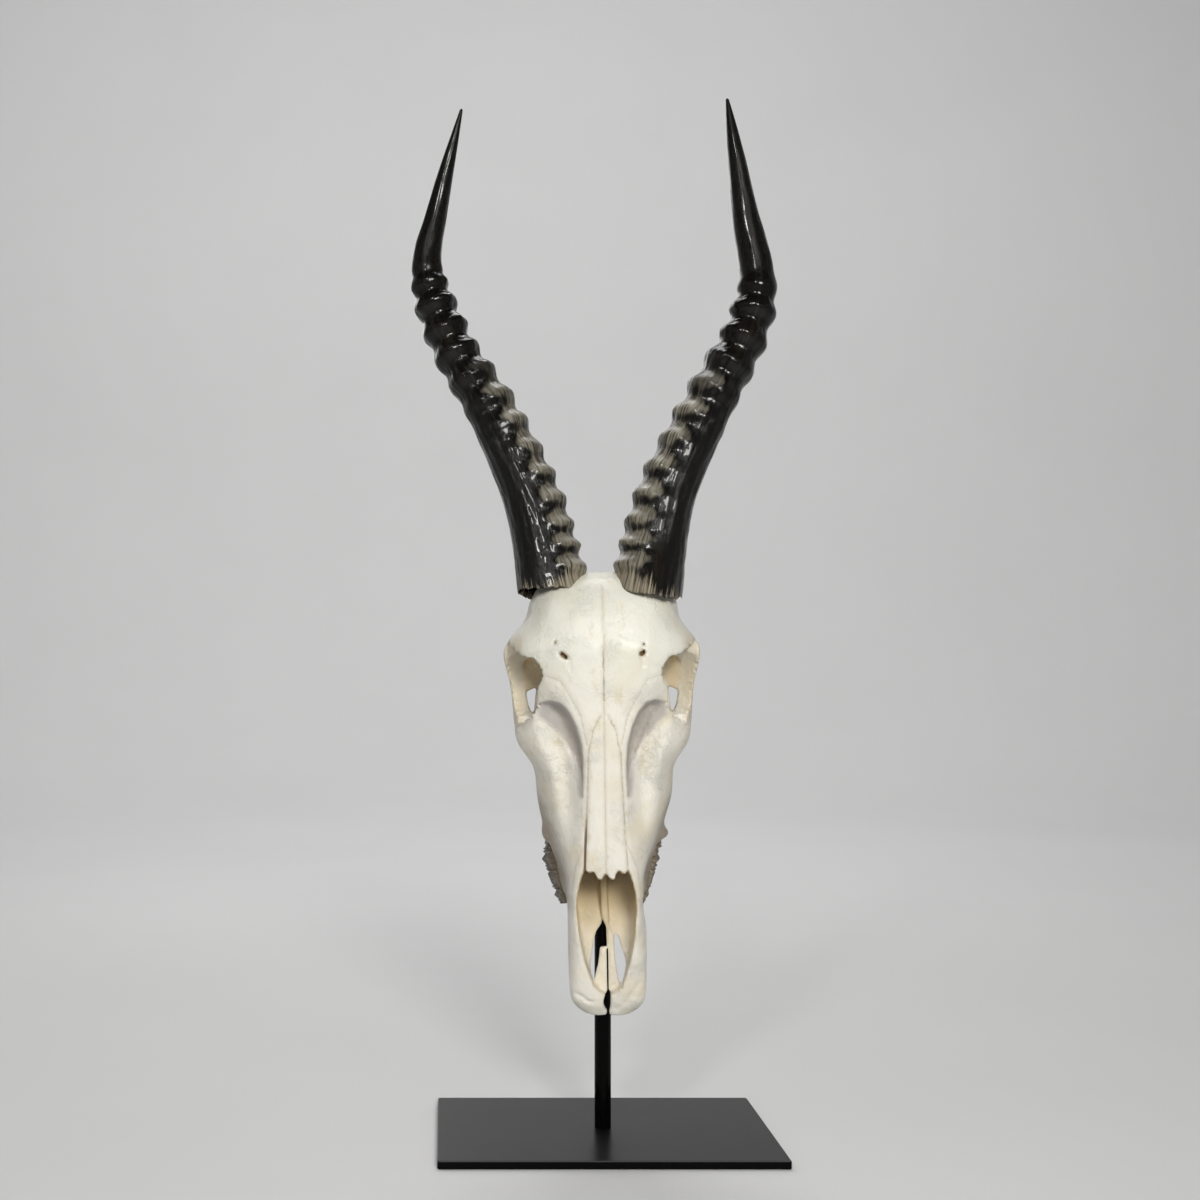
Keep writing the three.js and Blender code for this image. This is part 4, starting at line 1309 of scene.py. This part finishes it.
rag_noise = noise(vector(tree, cos * 2.0, sin * 2.0, given["Seed"]), 2.2, 5.0, 0.7) - 0.5
at_base = share.step(0.09, 0.0)
rag = (rag_noise * given["Rag"] - cos * given["Base Tilt"] - sin * given["Front Drop"]) * at_base
outward = vmath("ADD", scaled(to_inner, cos * radius), scaled(to_front, sin * radius * 1.12))
position = vmath("ADD", vmath("ADD", curve_point, outward), scaled(tangent, rag))
front_lip = at_base * sin.maths("MAXIMUM", 0.0) * given["Front Drop"]
position = vmath("ADD", position, scaled(to_front, front_lip))
geometry = keep(grid, "along", share * HORN_LENGTH)
# The crest value: the ring crest for wear, and the upper flank of each ring for painted light.
upper_side = (phase * math.tau).maths("SINE") * 0.5 + 0.5
geometry = keep(geometry, "crest", (ring * 0.35 + upper_side * 0.65) * (0.45 + reach * 0.55))
pale = (angle - math.radians(22)).maths("COSINE").step(1 - given["Pale"], 1.0)
geometry = keep(geometry, "pale", pale)
geometry = keep(geometry, "around", vector(tree, cos, sin, 0.0), "FLOAT_VECTOR")
inputs = {"Geometry": geometry, "Position": position}
geometry = Wire.node(tree, "GeometryNodeSetPosition", None, inputs)
close_tree(tree, geometry, given["Finish"])
horn_tree = tree
print("horn tree:", len(tree.nodes), "nodes,", RING_COUNT, "rings")

# %% [markdown]
# ## The two horns
#
# The horns are a pair but not twins: the right one bends later, the left one is paler in front and
# its base drops lower. Mirroring one would show at once. So each has its own middle line, a smooth
# curve through a few points, and its own values for the same tree. The result is turned into a
# plain mesh, because the export drops what lives only in a modifier.

# %% The two horns
HORN_LINES = {
    "left": [
        (25, -53.5, 325), (36.7, -47, 378), (63, -39, 434), (86, -33, 478), (91.7, -31, 504),
        (86, -30.5, 543), (75.6, -35, 611),
    ],
    "right": [
        (-27.5, -53.5, 325), (-39.2, -47, 378), (-63.5, -39, 434), (-88, -32.5, 478),
        (-100.6, -29.5, 520), (-94.6, -29, 554), (-78.2, -35, 613),
    ],
}
BOTH_HORNS = {
    "Rows": 520, "Sides": 97, "Ring Height": 0.0034, "Flute Depth": 0.0022, "Rag": 0.009,
}
EACH_HORN = {
    "left": {
        "Side": 1.0, "Base Tilt": 0.001, "Front Drop": 0.006, "Pale": 1.2, "Front Rings": 0.7,
        "Stretch": 0.96, "Ring End": 0.65, "Seed": 1.7,
    },
    "right": {
        "Side": -1.0, "Base Tilt": 0.0055, "Front Drop": 0.0, "Pale": 0.75, "Front Rings": 0.0,
        "Stretch": 1.0, "Ring End": 0.68, "Seed": 6.2,
    },
}


def even_line(points, steps=40):
    """A smooth line through the points, its speed following the root of their spacing."""
    points = np.array(points, float)
    points = np.concatenate([[2 * points[0] - points[1]], points, [2 * points[-1] - points[-2]]])
    result = []
    for a, b, c, d in zip(points, points[1:], points[2:], points[3:]):
        ta, tb, tc = (np.linalg.norm(q - p) ** 0.5 for p, q in ((a, b), (b, c), (c, d)))
        m1 = ((b - a) / ta - (c - a) / (ta + tb) + (c - b) / tb) * tb
        m2 = ((c - b) / tb - (d - b) / (tb + tc) + (d - c) / tc) * tb
        for t in np.arange(steps) / steps:
            result.append(
                (2 * t**3 - 3 * t**2 + 1) * b + (t**3 - 2 * t**2 + t) * m1
                + (3 * t**2 - 2 * t**3) * c + (t**3 - t**2) * m2
            )
    return np.array(result + [points[-2]])


def grown(name, source, tree, ids, values):
    """Runs a geometry tree on a mesh and returns the result as a plain mesh, faces outward."""
    carrier = bpy.data.objects.new(name, source)
    bpy.context.scene.collection.objects.link(carrier)
    modifier = carrier.modifiers.new(name, "NODES")
    modifier.node_group = tree
    for label, value in values.items():
        modifier[ids[label]] = value
    carrier.update_tag()
    ready = carrier.evaluated_get(bpy.context.evaluated_depsgraph_get())
    mesh = bpy.data.meshes.new_from_object(ready)
    bpy.data.objects.remove(carrier)
    bpy.data.meshes.remove(source)
    shape = bmesh.new()
    shape.from_mesh(mesh)
    bmesh.ops.recalc_face_normals(shape, faces=shape.faces)
    shape.to_mesh(mesh)
    shape.free()
    mesh.name = name
    return mesh


head_turn = head.to_3x3() * 1000
front_way = head_turn @ Vector((0, -1, 0))
for side, points in HORN_LINES.items():
    spots = even_line(points)
    source = bpy.data.meshes.new("horn line")
    source.from_pydata(spots.tolist(), [(i, i + 1) for i in range(len(spots) - 1)], [])
    source.transform(head)
    values = {**BOTH_HORNS, **EACH_HORN[side], "Front": tuple(front_way), "Finish": horn}
    mesh = grown(f"{side} horn", source, horn_tree, horn_ids, values)
    add_piece(f"{side} horn", mesh, f"horn_sheath_{side}")
    print(side, "horn:", len(mesh.vertices), "points")

# %% [markdown]
# ## Tooth tree
#
# A grazer's cheek tooth is a tall box with ribs on the cheek side, a fold between its lobes and a
# crown that is worn hollow. The twelve teeth differ in size and lobes, but not in kind, so one tree
# makes them all from a grid: one way of it goes up the side and over the crown, the other around.
# Twelve sculpted teeth would take long and look no better at this size.

# %% Tooth tree
tree, given, tooth_ids = new_tree(
    "cheek tooth",
    [
        ("Geometry", "Geometry"), ("Rows", "Int"), ("Sides", "Int"), ("Length", "Float"),
        ("Width", "Float"), ("Height", "Float"), ("Lobes", "Float"), ("Flare", "Float"),
        ("Seed", "Float"), ("Finish", "Material"),
    ],
)
grid, u, v = unit_grid(tree, given["Rows"], given["Sides"])
angle = v * v.maths("LESS_THAN", 0.9995) * math.tau
cos, sin = angle.maths("COSINE"), angle.maths("SINE")
box_cos = cos.maths("SIGN") * abs(cos) ** 0.4
box_sin = sin.maths("SIGN") * abs(sin) ** 0.28
spread = [(0, 0), (0.07, 0.8), (0.5, 0.95), (0.74, 1.0), (0.82, 0.9), (0.9, 0.55), (1, 0)]
rise = [(0, 0), (0.07, 0.02), (0.4, 0.42), (0.74, 0.93), (0.82, 1.0), (0.9, 0.86), (1, 0.8)]
spread, rise = line(u, spread), line(u, rise)
ribs = (box_sin * given["Lobes"] * math.pi * 1.5).maths("COSINE")
fine_ribs = (box_sin * (given["Lobes"] + 1) * math.pi * 3.1 + given["Seed"]).maths("COSINE")
cheek = cos.step(-0.1, 0.6)
tongue = cos.step(0.1, -0.6)
fold = 1 + ribs * (0.1 * cheek - 0.09 * tongue) + fine_ribs * cheek * 0.13
rough = noise(vector(tree, cos * 2.0, sin * 2.0, u * 3.0 + given["Seed"]), 1.6, 3.0) - 0.5
fold = fold + rough * 0.34
cusp = (ribs * 0.09 + fine_ribs * 0.06) * u.step(0.55, 0.85)
worn_top = (cusp + rough * 0.1 * u.step(0.6, 0.85)) * (1 - u.step(0.9, 1.0))
place_y = (rise + worn_top) * given["Height"]
place_x = box_cos * spread * fold * given["Width"] * 0.5 + place_y * given["Flare"]
place_z = box_sin * spread * (1 + rough * 0.04) * given["Length"] * 0.5
position = vector(tree, place_x, place_y, place_z)
geometry = keep(grid, "up", rise)
inputs = {"Geometry": geometry, "Position": position}
geometry = Wire.node(tree, "GeometryNodeSetPosition", None, inputs)
spot = Wire.node(tree, "GeometryNodeInputPosition")
geometry = keep(geometry, "place", scaled(spot, 1000.0), "FLOAT_VECTOR")
close_tree(tree, geometry, given["Finish"])
print("tooth tree:", len(tree.nodes), "nodes")

# %% [markdown]
# ## The two tooth rows
#
# Three premolars and three molars stand in each row, from front to back, on a line that bows
# outwards. They stand so close that their sides touch, so each is a little longer than its place.
# The front teeth of the right row lean outwards more. The right row is mirrored, which turns a mesh
# inside out, so its faces are flipped back.

# %% The two tooth rows
TEETH = [
    ("premolar_2", 8.5, 7.5, 7, 1), ("premolar_3", 10, 9, 8, 1), ("premolar_4", 10.5, 10.5, 9, 1),
    ("molar_1", 14.5, 11.5, 10, 2), ("molar_2", 16.5, 12, 11, 2), ("molar_3", 17, 11, 11, 2),
]
TOOTH_GAP, TOOTH_LAP, ROW_START, TOOTH_ROOT, RIDGE = 0.7, 3.4, 143, -9, -3.5
ROW_LINE = [(143, 22.3), (160, 27.4), (178, 30), (200, 31.2), (225, 30.4)]
FRONT_FLARE, BACK_FLARE, FRONT_END = {"left": 0.04, "right": 0.28}, 0.02, 180

count = 0
for side, sign in (("left", 1), ("right", -1)):
    z = ROW_START
    for name, long, wide, crown, lobes in TEETH:
        middle = z + long / 2
        z += long + TOOTH_GAP
        row = np.interp((middle - 2, middle, middle + 2), *zip(*ROW_LINE))
        values = {
            "Rows": 44, "Sides": 65, "Length": (long + TOOTH_LAP) / 1000, "Width": wide / 1000,
            "Height": (RIDGE + crown - TOOTH_ROOT) / 1000, "Lobes": float(lobes),
            "Flare": FRONT_FLARE[side] if middle < FRONT_END else BACK_FLARE,
            "Seed": count * 3.1, "Finish": tooth,
        }
        title = f"{side} {name.replace('_', ' ')}"
        source = bpy.data.meshes.new("tooth start")
        source.from_pydata([(0, 0, 0)], [], [])
        mesh = grown(title, source, tree, tooth_ids, values)
        out = settled([(row[1] * sign, RIDGE, middle)])[0, 0]
        stand_up = (
            head
            @ Matrix.Translation((out, TOOTH_ROOT, middle))
            @ Matrix.Rotation(math.atan2((row[2] - row[0]) * sign, 4), 4, "Y")
            @ Matrix.Diagonal((1000 * sign, 1000, 1000, 1))
        )
        mesh.transform(stand_up)
        if sign < 0:
            mesh.flip_normals()
        add_piece(title, mesh, f"{name}_{side}")
        count += 1
print("teeth:", count)
